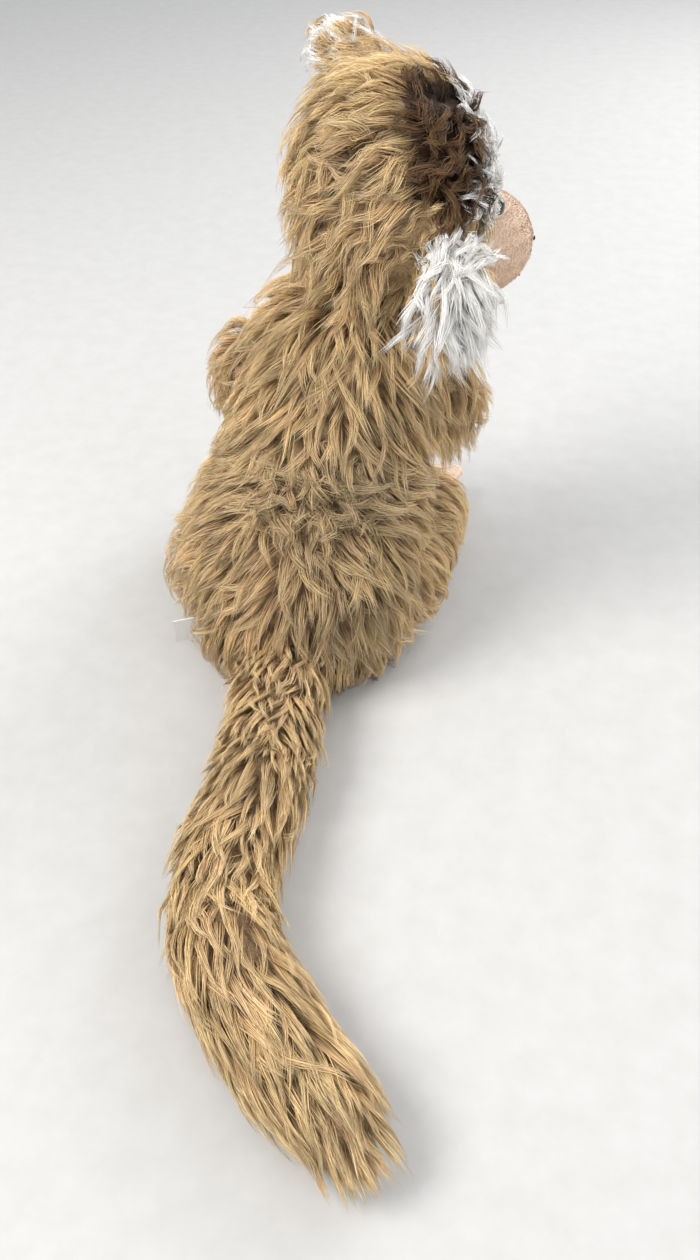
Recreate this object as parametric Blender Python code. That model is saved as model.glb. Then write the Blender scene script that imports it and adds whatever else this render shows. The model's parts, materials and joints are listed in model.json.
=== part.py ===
"""Seated long-pile plush monkey, modelled as the fabric panels, fillings and fittings it is sewn from.

Metres. +Z is up, the body faces -Y, +X is the toy's own left side. The origin is the centre of the
flat seat panel that the toy sits on. The head is turned, nodded and tilted at rest, and the tail lies
in a curve.
"""

import math

import bmesh
import bpy
from mathutils import Matrix, Vector

# Fabric and clearances
WALL = 0.0016  # backing fabric with its sewn-in pile root
GAP = 0.0004  # space between two pieces that touch on the real toy
PLAY = 0.0010  # space round a ball end in its socket
BALL_RINGS = 3  # rings of a ball end, from its mouth to its widest
MOUTH = math.radians(38)  # a limb skin is open this far round the pole of its ball end
SEAM = math.radians(0.25)  # half of the gap between two panels of one skin

# Seat and torso: height, centre x, centre y, half width, half depth of the skin's outer face
SEAT_HALF_WIDTH, SEAT_HALF_DEPTH = 0.026, 0.030
TORSO = (
    (0.0004, 0.000, 0.000, 0.034, 0.038),
    (0.0060, 0.000, 0.001, 0.046, 0.048),
    (0.0200, 0.000, 0.002, 0.053, 0.055),
    (0.0400, 0.000, 0.000, 0.056, 0.058),
    (0.0600, -0.001, -0.004, 0.056, 0.057),
    (0.0850, -0.004, -0.013, 0.053, 0.054),
    (0.1100, -0.009, -0.023, 0.049, 0.050),
    (0.1350, -0.015, -0.032, 0.046, 0.046),
    (0.1550, -0.019, -0.039, 0.043, 0.042),
    (0.1720, -0.022, -0.045, 0.040, 0.038),
    (0.1830, -0.025, -0.050, 0.034, 0.031),
    (0.1890, -0.027, -0.054, 0.027, 0.024),
)
TORSO_SIDES = 20
BACK_PANEL_HALF = math.radians(108)  # the back panel reaches this far round from +Y
PELLET_TOP = 0.028

# Head: pose at rest, centre and outer half sizes (across the ears, front to back, up)
HEAD_TURN, HEAD_NOD, HEAD_TILT = math.radians(-58), math.radians(16), math.radians(-22)
HEAD_CENTRE = Vector((-0.0475, -0.058, 0.2435))
HEAD_HALF = Vector((0.055, 0.045, 0.048))
NECK_DROP, NECK_BACK = 0.041, 0.004  # neck ball from the head's centre, in the head's own frame
NECK_BALL, NECK_ROOM = 0.0165, 0.0007
NECK_OPEN = math.radians(52)  # the neck's fabric ring is open this far round each of its poles
NECK_SIDES, NECK_BANDS = 16, 5
FACE_EDGE, CAP_EDGE = math.radians(58), math.radians(112)  # panel edges, measured from the face's axis
CAP_HALF = math.radians(54)  # the dark cap reaches this far each side of the crown
HEAD_SIDES = 20

# Face, in the head's own frame (x to its left, y to its back, z up)
MUZZLE_CENTRE, MUZZLE_HALF = Vector((0, -0.054, -0.0255)), Vector((0.026, 0.029, 0.0275))
EYE_ACROSS, EYE_UP = 0.017, 0.010
EYE_RADIUS, EYE_DOME, EYE_STEM, EYE_STEM_LENGTH = 0.0052, 0.0046, 0.0014, 0.0070
EYE_SIDES, EYE_STEP = 14, math.radians(22.5)
WASHER_RADIUS, WASHER_THICK, WASHER_STAND = 0.0048, 0.0012, 0.0006
FITTING_SIDES = 12  # sides of the washers and of the holes for the eyes
EYE_HOLE_BEYOND = 0.002  # how far past the stem's end the holes for it are cut
MUZZLE_SIDES, MUZZLE_BANDS = 18, 9
NOSTRIL_ACROSS, NOSTRIL_UP, NOSTRIL_RADIUS = 0.0055, -0.015, 0.0011
MOUTH_HALF_WIDTH, MOUTH_DROP, MOUTH_SAG, THREAD = 0.013, -0.0370, 0.004, 0.0006
MOUTH_STEPS = 10

# Ears, as leaves hung from the sides of the head
EAR_LENGTH, EAR_WIDTH, EAR_THICK = 0.044, 0.029, 0.007
EAR_ROOT = Vector((0.0545, 0.000, 0.021))
RIGHT_EAR_DROOP, LEFT_EAR_DROOP = math.radians(48), math.radians(16)
RIGHT_EAR_TWIST, LEFT_EAR_TWIST = math.radians(-102), 0.0  # the right ear lies with its front outward
RIGHT_EAR_SWEEP, LEFT_EAR_SWEEP = -0.20, 0.70  # how far back an ear leads, as a slope
EAR_STAND = 0.002  # from an ear's joint to the near end of its leaves
EAR_LEVELS = (0, 0.35, 0.65, 0.88)  # rings of a leaf, as shares of its half thickness
EAR_SIDES = 14

# Arms and legs: offsets are for the left side, and x changes sign on the right
SHOULDER = Vector((0.046, -0.042, 0.155))
SHOULDER_MID_X = -0.019
LEAN = math.radians(-11.5)  # the chest and its arms lean to the right, as a turn about Y
ARM_STEPS = (Vector((0, 0, 0)), Vector((0.008, -0.035, -0.042)), Vector((-0.004, -0.069, -0.050)))
ARM_RADII = (0.0165, 0.0145, 0.0115)
HIP = Vector((0.050, -0.018, 0.034))
HIP_MID_X = 0.002
LEG_STEPS = (Vector((0, 0, 0)), Vector((0.006, -0.060, 0.004)), Vector((0.001, -0.102, -0.015)))
LEG_RADII = (0.0265, 0.0225, 0.0155)
LIMB_SIDES = 12
ARM_REACH, LEG_REACH = 0.052, 0.058  # radii of the hollows in the torso's sides that the limbs swing in
ARM_SWEEP = (math.radians(-60), math.radians(24))  # how far a hollow goes, up from straight ahead
LEG_SWEEP = (math.radians(-12), math.radians(30))
POCKET_SIDES = 28
POCKET_DEPTHS = (0, 0.004, 0.009, 0.020)  # rings of a hollow, out from its deepest place
POCKET_SHARES = (0.35, 0.6, 0.8, 1)  # how much of the hollow's reach each of those rings has
POCKET_OUTSIDE = 3  # the cutter's outer end, in limb radii from the limb's joint
BED_ROUNDNESS = 0.98  # just under 1, so that the ball's bed keeps some width at its deepest place

# Hands and feet: half sizes (forward, across, through), then their digits
HAND_HALF, FOOT_HALF = Vector((0.0125, 0.0125, 0.0070)), Vector((0.0190, 0.0150, 0.0085))
FOOT_ALONG = Vector((0, -1, 0.15))
HAND_UP, FOOT_UP = Vector((0, -0.3, 1)), Vector((0, 0, 1))
HAND_DIGITS = {"spread": 0.0035, "length": 0.014, "radius": 0.0036}
FOOT_DIGITS = {"spread": 0.003, "length": 0.013, "radius": 0.0042}
DIGITS = 4  # besides the thumb or big toe
PAD_FORWARD = 0.78  # the pad's centre, in its half lengths ahead of the cuff
CUFF_CUT = 0.05
DIGIT_ROOT = (1.25, 0.68)  # where the digits start, in the pad's half lengths and half widths
DIGIT_DROP, OUTER_DIGIT_SHORTER = 0.003, 0.18
THUMB_ROOT, THUMB_REACH = (0.75, 0.55), (0.45, 0.95)  # in pad half sizes, then digit length and half width
THUMB_ROOT_DROP, THUMB_DROP, THUMB_STOUTER = 0.001, 0.002, 1.08

# Tail: joint centres along the floor, then the tip, with the radius at each
TAIL_Z = 0.0200
TAIL_ROUTE = (
    (-0.002, 0.060),
    (-0.008, 0.102),
    (-0.012, 0.142),
    (-0.012, 0.188),
    (-0.023, 0.231),
    (-0.055, 0.270),
    (-0.089, 0.300),
)
TAIL_RADII = (0.0160, 0.0162, 0.0165, 0.0170, 0.0175, 0.0172, 0.0135)
TAIL_JOINTS = (0, 2, 4)
TAIL_STEPS = 3
TAIL_SIDES = 12
TAIL_NAMES = ("base", "middle", "end")
TAIL_STOP = 0.6  # a length ends this far short of the next one's joint, in tail radii

# Sewn-in label at the left side seam
LABEL_ROOT, LABEL_TURN = Vector((0.0420, 0.0385, 0.0320)), math.radians(28)
LABEL_SIZE = Vector((0.023, 0.0008, 0.015))

SHARP_EDGE = math.radians(50)  # edges sharper than this are not shaded smooth
SMALLEST = 1e-6
AHEAD, UP = Vector((0, -1, 0)), Vector((0, 0, 1))
EAST, NORTH = Vector((1, 0, 0)), Vector((0, 1, 0))
SIDES = ((1, "left"), (-1, "right"))

MATERIALS = {
    "tan_fur": ((0.44, 0.29, 0.14), 0.9),
    "brown_fur": ((0.08, 0.035, 0.018), 0.9),
    "white_fur": ((0.80, 0.77, 0.70), 0.9),
    "peach_plush": ((0.72, 0.48, 0.33), 0.8),
    "stuffing": ((0.86, 0.86, 0.84), 1.0),
    "pellet_cloth": ((0.55, 0.55, 0.52), 0.9),
    "seat_cloth": ((0.20, 0.13, 0.07), 0.9),
    "label_cloth": ((0.88, 0.88, 0.86), 0.7),
    "eye_plastic": ((0.006, 0.005, 0.005), 0.08),
    "washer_plastic": ((0.80, 0.80, 0.78), 0.4),
    "thread": ((0.03, 0.015, 0.01), 0.7),
}


def clear_scene():
    for obj in list(bpy.data.objects):
        bpy.data.objects.remove(obj, do_unlink=True)


def material(name):
    """The named Principled material, made once."""
    found = bpy.data.materials.get(name)
    if found:
        return found
    colour, roughness = MATERIALS[name]
    made = bpy.data.materials.new(name)
    made.use_nodes = True
    shader = made.node_tree.nodes["Principled BSDF"]
    shader.inputs["Base Color"].default_value = (*colour, 1)
    shader.inputs["Roughness"].default_value = roughness
    made.diffuse_color = (*colour, 1)
    return made


class Body:
    """A rigid group of pieces: an empty on its joint's axis, which its pieces hang from."""

    def __init__(self, name, at, parent=None):
        self.at = Vector(at)
        self.empty = bpy.data.objects.new(name, None)
        self.empty.empty_display_size = 0.02
        bpy.context.collection.objects.link(self.empty)
        self.empty.location = self.at - (parent.at if parent else Vector())
        self.empty.parent = parent.empty if parent else None

    def add(self, name, points, faces, finish):
        """A smooth-shaded piece from world-space points."""
        mesh = bpy.data.meshes.new(name)
        mesh.from_pydata([Vector(p) - self.at for p in points], [], faces)
        work = bmesh.new()
        work.from_mesh(mesh)
        bmesh.ops.recalc_face_normals(work, faces=work.faces)
        work.to_mesh(mesh)
        work.free()
        mesh.shade_smooth()
        mesh.set_sharp_from_angle(angle=SHARP_EDGE)
        mesh.materials.append(material(finish))
        piece = bpy.data.objects.new(name, mesh)
        bpy.context.collection.objects.link(piece)
        piece.parent = self.empty
        return piece


def helper(obj):
    """Marks a cutter or a joined-in shape as no piece of its own."""
    obj.hide_render = True
    obj.display_type = "WIRE"
    return obj


def combine(piece, other, operation="DIFFERENCE"):
    modifier = piece.modifiers.new(other.name, "BOOLEAN")
    modifier.operation = operation
    modifier.solver = "EXACT"
    modifier.object = helper(other)


def loft(rings, loop=False):
    """Points and faces through rings of points; a ring of one point is a pole."""
    points, starts = [], []
    for ring in rings:
        starts.append(len(points))
        points.extend(ring)
    faces = []
    pairs = list(zip(range(len(rings)), range(1, len(rings))))
    if loop:
        pairs.append((len(rings) - 1, 0))
    for a, b in pairs:
        count = max(len(rings[a]), len(rings[b]))
        for i in range(count):
            j = (i + 1) % count
            corners = []
            for ring, order in ((a, (i, j)), (b, (j, i))):
                corners += [starts[ring] + k % len(rings[ring]) for k in order]
            faces.append(list(dict.fromkeys(corners)))
    return points, faces


def cup(outer, inner):
    """Rings of a wall that is closed at its first end and open at its last."""
    return outer + inner[::-1]


def patch(outer, inner):
    """A thick panel: rows of points on its outer face, and the same rows on its inner one."""
    columns = len(outer[0])
    points, faces = loft([a + b[::-1] for a, b in zip(outer, inner)])
    last = len(points) - 2 * columns
    for start in (0, last):
        across = start + 2 * columns - 1
        for i in range(columns - 1):
            faces.append([start + i, start + i + 1, across - 1 - i, across - i])
    return points, faces


def smooth_route(keys, radii, steps):
    """Catmull-Rom points and radii through the key points."""
    knots = [Vector((*k, r)) for k, r in zip(keys, radii)]
    knots = [2 * knots[0] - knots[1]] + knots + [2 * knots[-1] - knots[-2]]
    route = []
    for a, b, c, d in zip(knots, knots[1:], knots[2:], knots[3:]):
        for step in range(steps):
            t = step / steps
            square = (2 * a - 5 * b + 4 * c - d) * t**2
            cube = (3 * b - a - 3 * c + d) * t**3
            route.append(0.5 * (2 * b + (c - a) * t + square + cube))
    route.append(knots[-2])
    return [Vector(k[:3]) for k in route], [k[3] for k in route]


def circle(centre, side, up, radius, count):
    angles = (2 * math.pi * i / count for i in range(count))
    return [centre + radius * (side * math.cos(a) + up * math.sin(a)) for a in angles]


def tube_rings(route, radii, sides, inset=0.0, closed=True, stop=0.0, round_end=False):
    """Rings of a limb that starts as a ball on its joint.

    inset shrinks every ring, closed gives the ball its pole, stop trims the far end, and round_end
    domes it.
    """
    radii = [r - inset for r in radii]
    spans = [(b - a).normalized() for a, b in zip(route, route[1:])]
    bends = [(a + b).normalized() for a, b in zip(spans, spans[1:])]
    tangents = [spans[0]] + bends + [spans[-1]]
    side = tangents[0].cross(UP).normalized()
    rings = []
    if closed:
        rings.append([route[0] - tangents[0] * radii[0]])
    for step in range(BALL_RINGS):
        angle = MOUTH + (math.pi / 2 - MOUTH) * step / BALL_RINGS
        centre = route[0] - tangents[0] * radii[0] * math.cos(angle)
        rings.append(circle(centre, side, tangents[0].cross(side), radii[0] * math.sin(angle), sides))
    length = sum((b - a).length for a, b in zip(route, route[1:]))
    gone = 0.0
    for i, (centre, tangent) in enumerate(zip(route, tangents)):
        if i:
            gone += (centre - route[i - 1]).length
        if gone > length - stop + SMALLEST:
            break
        side = (side - tangent * side.dot(tangent)).normalized()
        last = (centre, tangent, radii[i])
        rings.append(circle(centre, side, tangent.cross(side), radii[i], sides))
    if round_end:
        centre, tangent, radius = last
        for step in range(1, BALL_RINGS):
            angle = math.pi / 2 * step / BALL_RINGS
            at = centre + tangent * radius * math.sin(angle)
            rings.append(circle(at, side, tangent.cross(side), radius * math.cos(angle), sides))
        rings.append([centre + tangent * radius])
    return rings


def filled(rings):
    """Closes both ends of a stack of rings with a point at each end ring's middle."""
    rings = list(rings)
    first, last = rings[0], rings[-1]
    if len(first) > 1:
        rings.insert(0, [sum(first, Vector()) / len(first)])
    if len(last) > 1:
        rings.append([sum(last, Vector()) / len(last)])
    return rings


def lathe(profile, frame, sides=20):
    """A turned solid: (distance along the frame's z, radius) pairs, starting and ending on the axis."""
    rings = []
    for along, radius in profile:
        if radius == 0:
            rings.append([frame @ Vector((0, 0, along))])
        else:
            rings.append([frame @ p for p in circle(UP * along, EAST, NORTH, radius, sides)])
    return loft(rings)


def ellipsoid(centre, half, frame=None, sides=24, bands=12):
    """A closed ellipsoid about the frame's axes."""
    frame = frame or Matrix.Identity(4)
    shape = frame @ Matrix.Translation(centre) @ Matrix.Diagonal((*half, 1))
    arc = [(-math.cos(math.pi * k / bands), math.sin(math.pi * k / bands)) for k in range(1, bands)]
    return lathe([(-1, 0)] + arc + [(1, 0)], shape, sides)


def sphere_cutter(body, name, centre, radius):
    half = Vector((radius, radius, radius))
    return body.add(name, *ellipsoid(centre, half, sides=20, bands=10), "stuffing")


def pointing(origin, direction):
    """A frame at origin whose z runs along direction."""
    turn = UP.rotation_difference(direction).to_matrix().to_4x4()
    return Matrix.Translation(origin) @ turn


# ---- torso ----


def torso_ring(station, inset, angles):
    height, x, y, half_width, half_depth = station
    return [
        Vector((x + (half_width - inset) * math.sin(a), y + (half_depth - inset) * math.cos(a), height))
        for a in angles
    ]


def panel_angles(start, end):
    """Angles of a torso panel, on the same divisions as the filling inside it."""
    step = 2 * math.pi / TORSO_SIDES
    count = round((end - start) / step)
    inner = [start + step * i for i in range(1, count)]
    return [start + SEAM] + inner + [end - SEAM]


def torso_skin(body, name, start, end):
    angles = panel_angles(start, end)
    outer = [torso_ring(s, 0, angles) for s in TORSO]
    inner = [torso_ring(s, WALL, angles) for s in TORSO]
    return body.add(name, *patch(outer, inner), "tan_fur")


def torso_filling(body, name, low, high, finish):
    """The filling between two heights, clear of the skin."""
    turn = [2 * math.pi * i / TORSO_SIDES for i in range(TORSO_SIDES)]
    heights = [low] + [s[0] for s in TORSO if low < s[0] < high] + [high]
    stations = []
    for height in heights:
        below = max(i for i, s in enumerate(TORSO) if s[0] <= height)
        a, b = TORSO[below], TORSO[min(below + 1, len(TORSO) - 1)]
        t = (height - a[0]) / (b[0] - a[0]) if b[0] > a[0] else 0
        stations.append([p + (q - p) * t for p, q in zip(a, b)])
    rings = [torso_ring(s, WALL + GAP, turn) for s in stations]
    return body.add(name, *loft(filled(rings)), finish)


def seat_panel(body):
    turn = [2 * math.pi * i / TORSO_SIDES for i in range(TORSO_SIDES)]
    faces = [(height, 0, 0, SEAT_HALF_WIDTH, SEAT_HALF_DEPTH) for height in (0, WALL)]
    rings = [torso_ring(face, 0, turn) for face in faces]
    return body.add("seat_panel", *loft(filled(rings)), "seat_cloth")


def side_label(body):
    """A folded cloth label that stands out of the side seam."""
    frame = Matrix.Translation(LABEL_ROOT) @ Matrix.Rotation(LABEL_TURN, 4, "Z")
    half = LABEL_SIZE / 2
    edge = ((-half.y, -half.z), (half.y, -half.z), (half.y, half.z), (-half.y, half.z))
    rings = [[frame @ Vector((x, y, z)) for y, z in edge] for x in (0, LABEL_SIZE.x)]
    return body.add("sewn_label", *loft(filled(rings)), "label_cloth")


def pocket_reach(angle, sweep, radius, reach):
    """How far from its axis a limb of this radius can be, in this direction up from straight ahead."""
    beyond = max(sweep[0] - angle, angle - sweep[1])
    if beyond <= 0:
        return reach
    side = radius / math.sin(beyond) if beyond < math.pi / 2 else radius
    return min(reach, max(radius, side))


def limb_pocket(body, name, centre, outward, radius, reach, sweep):
    """The hollow in the torso's side that a limb swings in: a bed for its ball, and a fan ahead of that."""
    room = radius + PLAY
    up = (UP - outward * outward.z).normalized()
    stages = [(step - room, share) for step, share in zip(POCKET_DEPTHS, POCKET_SHARES)]
    stages.append((room * POCKET_OUTSIDE, 1))
    rings = []
    for depth, share in stages:
        rings.append([])
        ball = PLAY + math.sqrt(room**2 - min(depth, 0) ** 2 * BED_ROUNDNESS)
        for step in range(POCKET_SIDES):
            angle = math.pi * (2 * step / POCKET_SIDES - 1)
            away = pocket_reach(angle, sweep, room, max(reach * share, room))
            if away <= room:
                away = ball
            at = centre + outward * depth
            rings[-1].append(at + (AHEAD * math.cos(angle) + up * math.sin(angle)) * away)
    return body.add(name, *loft(filled(rings)), "stuffing")


def build_torso():
    body = Body("body", (0, 0, 0))
    back = torso_skin(body, "back_skin", -BACK_PANEL_HALF, BACK_PANEL_HALF)
    belly = torso_skin(body, "belly_skin", BACK_PANEL_HALF, 2 * math.pi - BACK_PANEL_HALF)
    stuffing = torso_filling(body, "body_stuffing", PELLET_TOP + GAP, TORSO[-1][0] - GAP, "stuffing")
    pellets = torso_filling(body, "seat_pellet_bag", WALL + GAP, PELLET_TOP, "pellet_cloth")
    seat_panel(body)
    side_label(body)
    for side, name in SIDES:
        outward = Matrix.Rotation(LEAN, 3, "Y") @ (EAST * side)
        fan = (outward, ARM_RADII[0], ARM_REACH, ARM_SWEEP)
        shoulder = limb_pocket(body, f"{name}_shoulder_cut", shoulder_centre(side), *fan)
        for piece in (back, belly, stuffing):
            combine(piece, shoulder)
        fan = (EAST * side, LEG_RADII[0], LEG_REACH, LEG_SWEEP)
        hip = limb_pocket(body, f"{name}_hip_cut", hip_centre(side), *fan)
        for piece in (back, belly, stuffing, pellets):
            combine(piece, hip)
    tail_cut = sphere_cutter(body, "tail_cut", tail_points()[0], TAIL_RADII[0] + PLAY)
    for piece in (back, stuffing, pellets):
        combine(piece, tail_cut)
    neck_cut = sphere_cutter(body, "neck_cut", neck_centre(), neck_socket())
    for piece in (back, belly, stuffing):
        combine(piece, neck_cut)
    return body


# ---- head ----


def head_frame():
    turn = Matrix.Rotation(HEAD_TURN, 4, "Z") @ Matrix.Rotation(HEAD_NOD, 4, "X")
    return Matrix.Translation(HEAD_CENTRE) @ turn @ Matrix.Rotation(HEAD_TILT, 4, "Y")


def neck_centre():
    return head_frame() @ Vector((0, NECK_BACK, -NECK_DROP))


def neck_socket():
    """Radius of the hollows in head and torso: the ball, the neck's fabric and the play."""
    return NECK_BALL + NECK_ROOM + WALL + PLAY


def head_point(polar, around, inset):
    """A point of the head's surface: polar from the face's axis, around from the crown to the left ear."""
    half = HEAD_HALF - Vector((inset, inset, inset))
    direction = (math.sin(polar) * math.sin(around), -math.cos(polar), math.sin(polar) * math.cos(around))
    return head_frame() @ Vector(d * h for d, h in zip(direction, half))


def head_rows(start, end, rows, angles, inset):
    """Rows of head points; a row at a pole has one point."""
    found = []
    for row in range(rows + 1):
        polar = start + (end - start) * row / rows
        at_pole = min(polar, math.pi - polar) < SMALLEST
        found.append([head_point(polar, a, inset) for a in (angles[:1] if at_pole else angles)])
    return found


def head_step(index):
    return 2 * math.pi * index / HEAD_SIDES


def head_cup(body, name, start, end, rows, finish):
    """A panel that covers one pole of the head, all the way round."""
    angles = [head_step(i) for i in range(HEAD_SIDES)]
    outer = head_rows(start, end, rows, angles, 0)
    inner = head_rows(start, end, rows, angles, WALL)
    return body.add(name, *loft(cup(outer, inner)), finish)


def head_strip(body, name, start, end, rows, first, last, finish):
    """A panel between two of the head's side divisions."""
    middle = [head_step(i) for i in range(first + 1, last)]
    angles = [head_step(first) + SEAM] + middle + [head_step(last) - SEAM]
    outer = head_rows(start, end, rows, angles, 0)
    inner = head_rows(start, end, rows, angles, WALL)
    return body.add(name, *patch(outer, inner), finish)


def eye_frame(side, inset=0.0):
    """A frame on the face at one eye, with z pointing out of the face."""
    half = HEAD_HALF - Vector((inset, inset, inset))
    x, z = side * EYE_ACROSS, EYE_UP
    y = -half.y * math.sqrt(1 - (x / half.x) ** 2 - (z / half.z) ** 2)
    normal = Vector((x / half.x**2, y / half.y**2, z / half.z**2)).normalized()
    return head_frame() @ pointing(Vector((x, y, z)), normal)


def eye(body, name, side):
    """A domed button with a stem, which goes through the face panel into its washer."""
    profile = [(-EYE_STEM_LENGTH, 0), (-EYE_STEM_LENGTH, EYE_STEM), (0, EYE_STEM)]
    for step in range(round(math.pi / 2 / EYE_STEP)):
        angle = EYE_STEP * step
        profile.append((EYE_DOME * math.sin(angle), EYE_RADIUS * math.cos(angle)))
    profile.append((EYE_DOME, 0))
    lifted = [(along + GAP, radius) for along, radius in profile]
    return body.add(name, *lathe(lifted, eye_frame(side), EYE_SIDES), "eye_plastic")


def eye_washer(body, name, side):
    """A ring behind the face panel, which holds the stem."""
    near = -WALL - GAP - WASHER_STAND
    far = near - WASHER_THICK
    hole = EYE_STEM + GAP
    frame = eye_frame(side)
    rings = []
    for along, radius in ((near, hole), (near, WASHER_RADIUS), (far, WASHER_RADIUS), (far, hole)):
        rings.append([frame @ p for p in circle(UP * along, EAST, NORTH, radius, FITTING_SIDES)])
    return body.add(name, *loft(rings, loop=True), "washer_plastic")


def muzzle_surface(x, z):
    """The front of the muzzle at this place across and up, in the head's frame."""
    dx, dz = (x - MUZZLE_CENTRE.x) / MUZZLE_HALF.x, (z - MUZZLE_CENTRE.z) / MUZZLE_HALF.z
    return Vector((x, MUZZLE_CENTRE.y - MUZZLE_HALF.y * math.sqrt(1 - dx**2 - dz**2), z))


def build_muzzle(body):
    """The short-pile snout: a cup of fabric on the face panel, filled, with its stitched details."""
    room = Vector((GAP, GAP, GAP))
    wall = Vector((WALL, WALL, WALL))
    seat = ellipsoid(Vector(), HEAD_HALF + 2 * room, head_frame(), 28, 14)
    face = body.add("muzzle_seat_cut", *seat, "stuffing")
    shape = (head_frame(), MUZZLE_SIDES, MUZZLE_BANDS)
    skin = body.add("muzzle_skin", *ellipsoid(MUZZLE_CENTRE, MUZZLE_HALF, *shape), "peach_plush")
    hollow = ellipsoid(MUZZLE_CENTRE, MUZZLE_HALF - wall, *shape)
    combine(skin, body.add("muzzle_hollow_cut", *hollow, "stuffing"))
    combine(skin, face)
    filling = ellipsoid(MUZZLE_CENTRE, MUZZLE_HALF - wall - room, *shape)
    combine(body.add("muzzle_stuffing", *filling, "stuffing"), face)
    for side, name in SIDES:
        at = muzzle_surface(side * NOSTRIL_ACROSS, NOSTRIL_UP)
        outward = (at - MUZZLE_CENTRE).normalized() * (NOSTRIL_RADIUS + GAP)
        half = Vector((NOSTRIL_RADIUS,) * 3)
        body.add(f"{name}_nostril", *ellipsoid(at + outward, half, head_frame(), 10, 6), "thread")
    mouth_stitch(body)


def mouth_stitch(body):
    """The mouth, as a curved line of thread on the snout."""
    route = []
    for step in range(MOUTH_STEPS + 1):
        across = -1 + 2 * step / MOUTH_STEPS
        x = across * MOUTH_HALF_WIDTH
        z = MOUTH_DROP + MOUTH_SAG * across**2
        on_skin = muzzle_surface(x, z)
        route.append(head_frame() @ (on_skin + (on_skin - MUZZLE_CENTRE).normalized() * (THREAD + GAP)))
    rings = tube_rings(route, [THREAD] * len(route), 6)
    body.add("mouth_stitch", *loft(filled(rings)), "thread")


def ear_frame(side, droop, twist, sweep):
    """A frame at an ear's root: x runs along the ear, y through it to its front, z across it."""
    root = Vector((side * EAR_ROOT.x, EAR_ROOT.y, EAR_ROOT.z))
    along = Vector((side * math.cos(droop), sweep, -math.sin(droop))).normalized()
    front = AHEAD - along * along.dot(AHEAD)
    front = Matrix.Rotation(side * twist, 3, along) @ front.normalized()
    across = along.cross(front)
    turn = Matrix((along, front, across)).transposed().to_4x4()
    return head_frame() @ Matrix.Translation(root) @ turn


def build_ear(head, side, name, droop, twist, sweep):
    """Two leaves of fabric sewn round their edge, white in front and tan behind."""
    frame = ear_frame(side, droop, twist, sweep)
    body = Body(f"{name}_ear", frame.translation, head)
    half = Vector((EAR_LENGTH / 2, EAR_THICK / 2, EAR_WIDTH / 2))
    placed = frame @ Matrix.Translation((EAR_LENGTH / 2 + EAR_STAND, 0, 0))
    for face, finish in ((1, "white_fur"), (-1, "tan_fur")):
        rings = []
        for level in EAR_LEVELS:
            shrink = math.sqrt(1 - level**2)
            y = face * (GAP / 2 + half.y * level)
            rings.append([])
            for step in range(EAR_SIDES):
                a = 2 * math.pi * step / EAR_SIDES
                local = (half.x * shrink * math.cos(a), y, half.z * shrink * math.sin(a))
                rings[-1].append(placed @ Vector(local))
        part = "front" if face > 0 else "back"
        body.add(f"{name}_ear_{part}", *loft(filled(rings)), finish)


def build_neck(torso):
    """A ring of fabric that turns on the torso, and inside it the ball that the head nods on."""
    centre = neck_centre()
    neck = Body("neck", centre, torso)
    rings = []
    for radius, order in ((NECK_BALL + NECK_ROOM + WALL, 1), (NECK_BALL + NECK_ROOM, -1)):
        for step in range(NECK_BANDS + 1)[::order]:
            polar = NECK_OPEN + (math.pi - 2 * NECK_OPEN) * step / NECK_BANDS
            at = centre + UP * radius * math.cos(polar)
            rings.append(circle(at, EAST, NORTH, radius * math.sin(polar), NECK_SIDES))
    neck.add("neck_skin", *loft(rings, loop=True), "tan_fur")
    core = Body("neck_core", centre, neck)
    ball = ellipsoid(centre, Vector((NECK_BALL,) * 3), sides=14, bands=8)
    core.add("neck_stuffing", *ball, "stuffing")
    return core


def fit_eyes(head, face, stuffing):
    """The eyes and their washers, with the hole in the face and the well in the filling for each."""
    deep = EYE_STEM_LENGTH + EYE_HOLE_BEYOND
    for side, name in SIDES:
        eye(head, f"{name}_eye", side)
        eye_washer(head, f"{name}_eye_washer", side)
        cuts = ((face, "eye_hole", EYE_STEM + GAP), (stuffing, "washer_well", WASHER_RADIUS + GAP))
        for piece, cut, room in cuts:
            profile = ((-deep, 0), (-deep, room), (deep, room), (deep, 0))
            shape = lathe(profile, eye_frame(side), FITTING_SIDES)
            combine(piece, head.add(f"{name}_{cut}_cut", *shape, "stuffing"))


def build_head(core):
    centre = neck_centre()
    head = Body("head", centre, core)
    face = head_cup(head, "face_panel", 0, FACE_EDGE - SEAM, 5, "white_fur")
    back = head_cup(head, "head_back_skin", math.pi, CAP_EDGE + SEAM, 6, "tan_fur")
    cap_side = round(CAP_HALF / head_step(1))
    edges = (FACE_EDGE + SEAM, CAP_EDGE - SEAM, 4)
    head_strip(head, "cap_panel", *edges, -cap_side, cap_side, "brown_fur")
    cheeks = head_strip(head, "cheek_and_chin_panel", *edges, cap_side, HEAD_SIDES - cap_side, "tan_fur")
    inset = Vector((1, 1, 1)) * (WALL + 2 * GAP)
    filling = ellipsoid(Vector(), HEAD_HALF - inset, head_frame(), 20, 10)
    stuffing = head.add("head_stuffing", *filling, "stuffing")
    socket = sphere_cutter(head, "head_socket_cut", centre, neck_socket())
    for piece in (back, cheeks, stuffing):
        combine(piece, socket)
    fit_eyes(head, face, stuffing)
    build_muzzle(head)
    build_ear(head, 1, "left", LEFT_EAR_DROOP, LEFT_EAR_TWIST, LEFT_EAR_SWEEP)
    build_ear(head, -1, "right", RIGHT_EAR_DROOP, RIGHT_EAR_TWIST, RIGHT_EAR_SWEEP)


# ---- limbs ----


def shoulder_centre(side):
    return Vector((SHOULDER_MID_X + side * SHOULDER.x, SHOULDER.y, SHOULDER.z))


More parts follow.
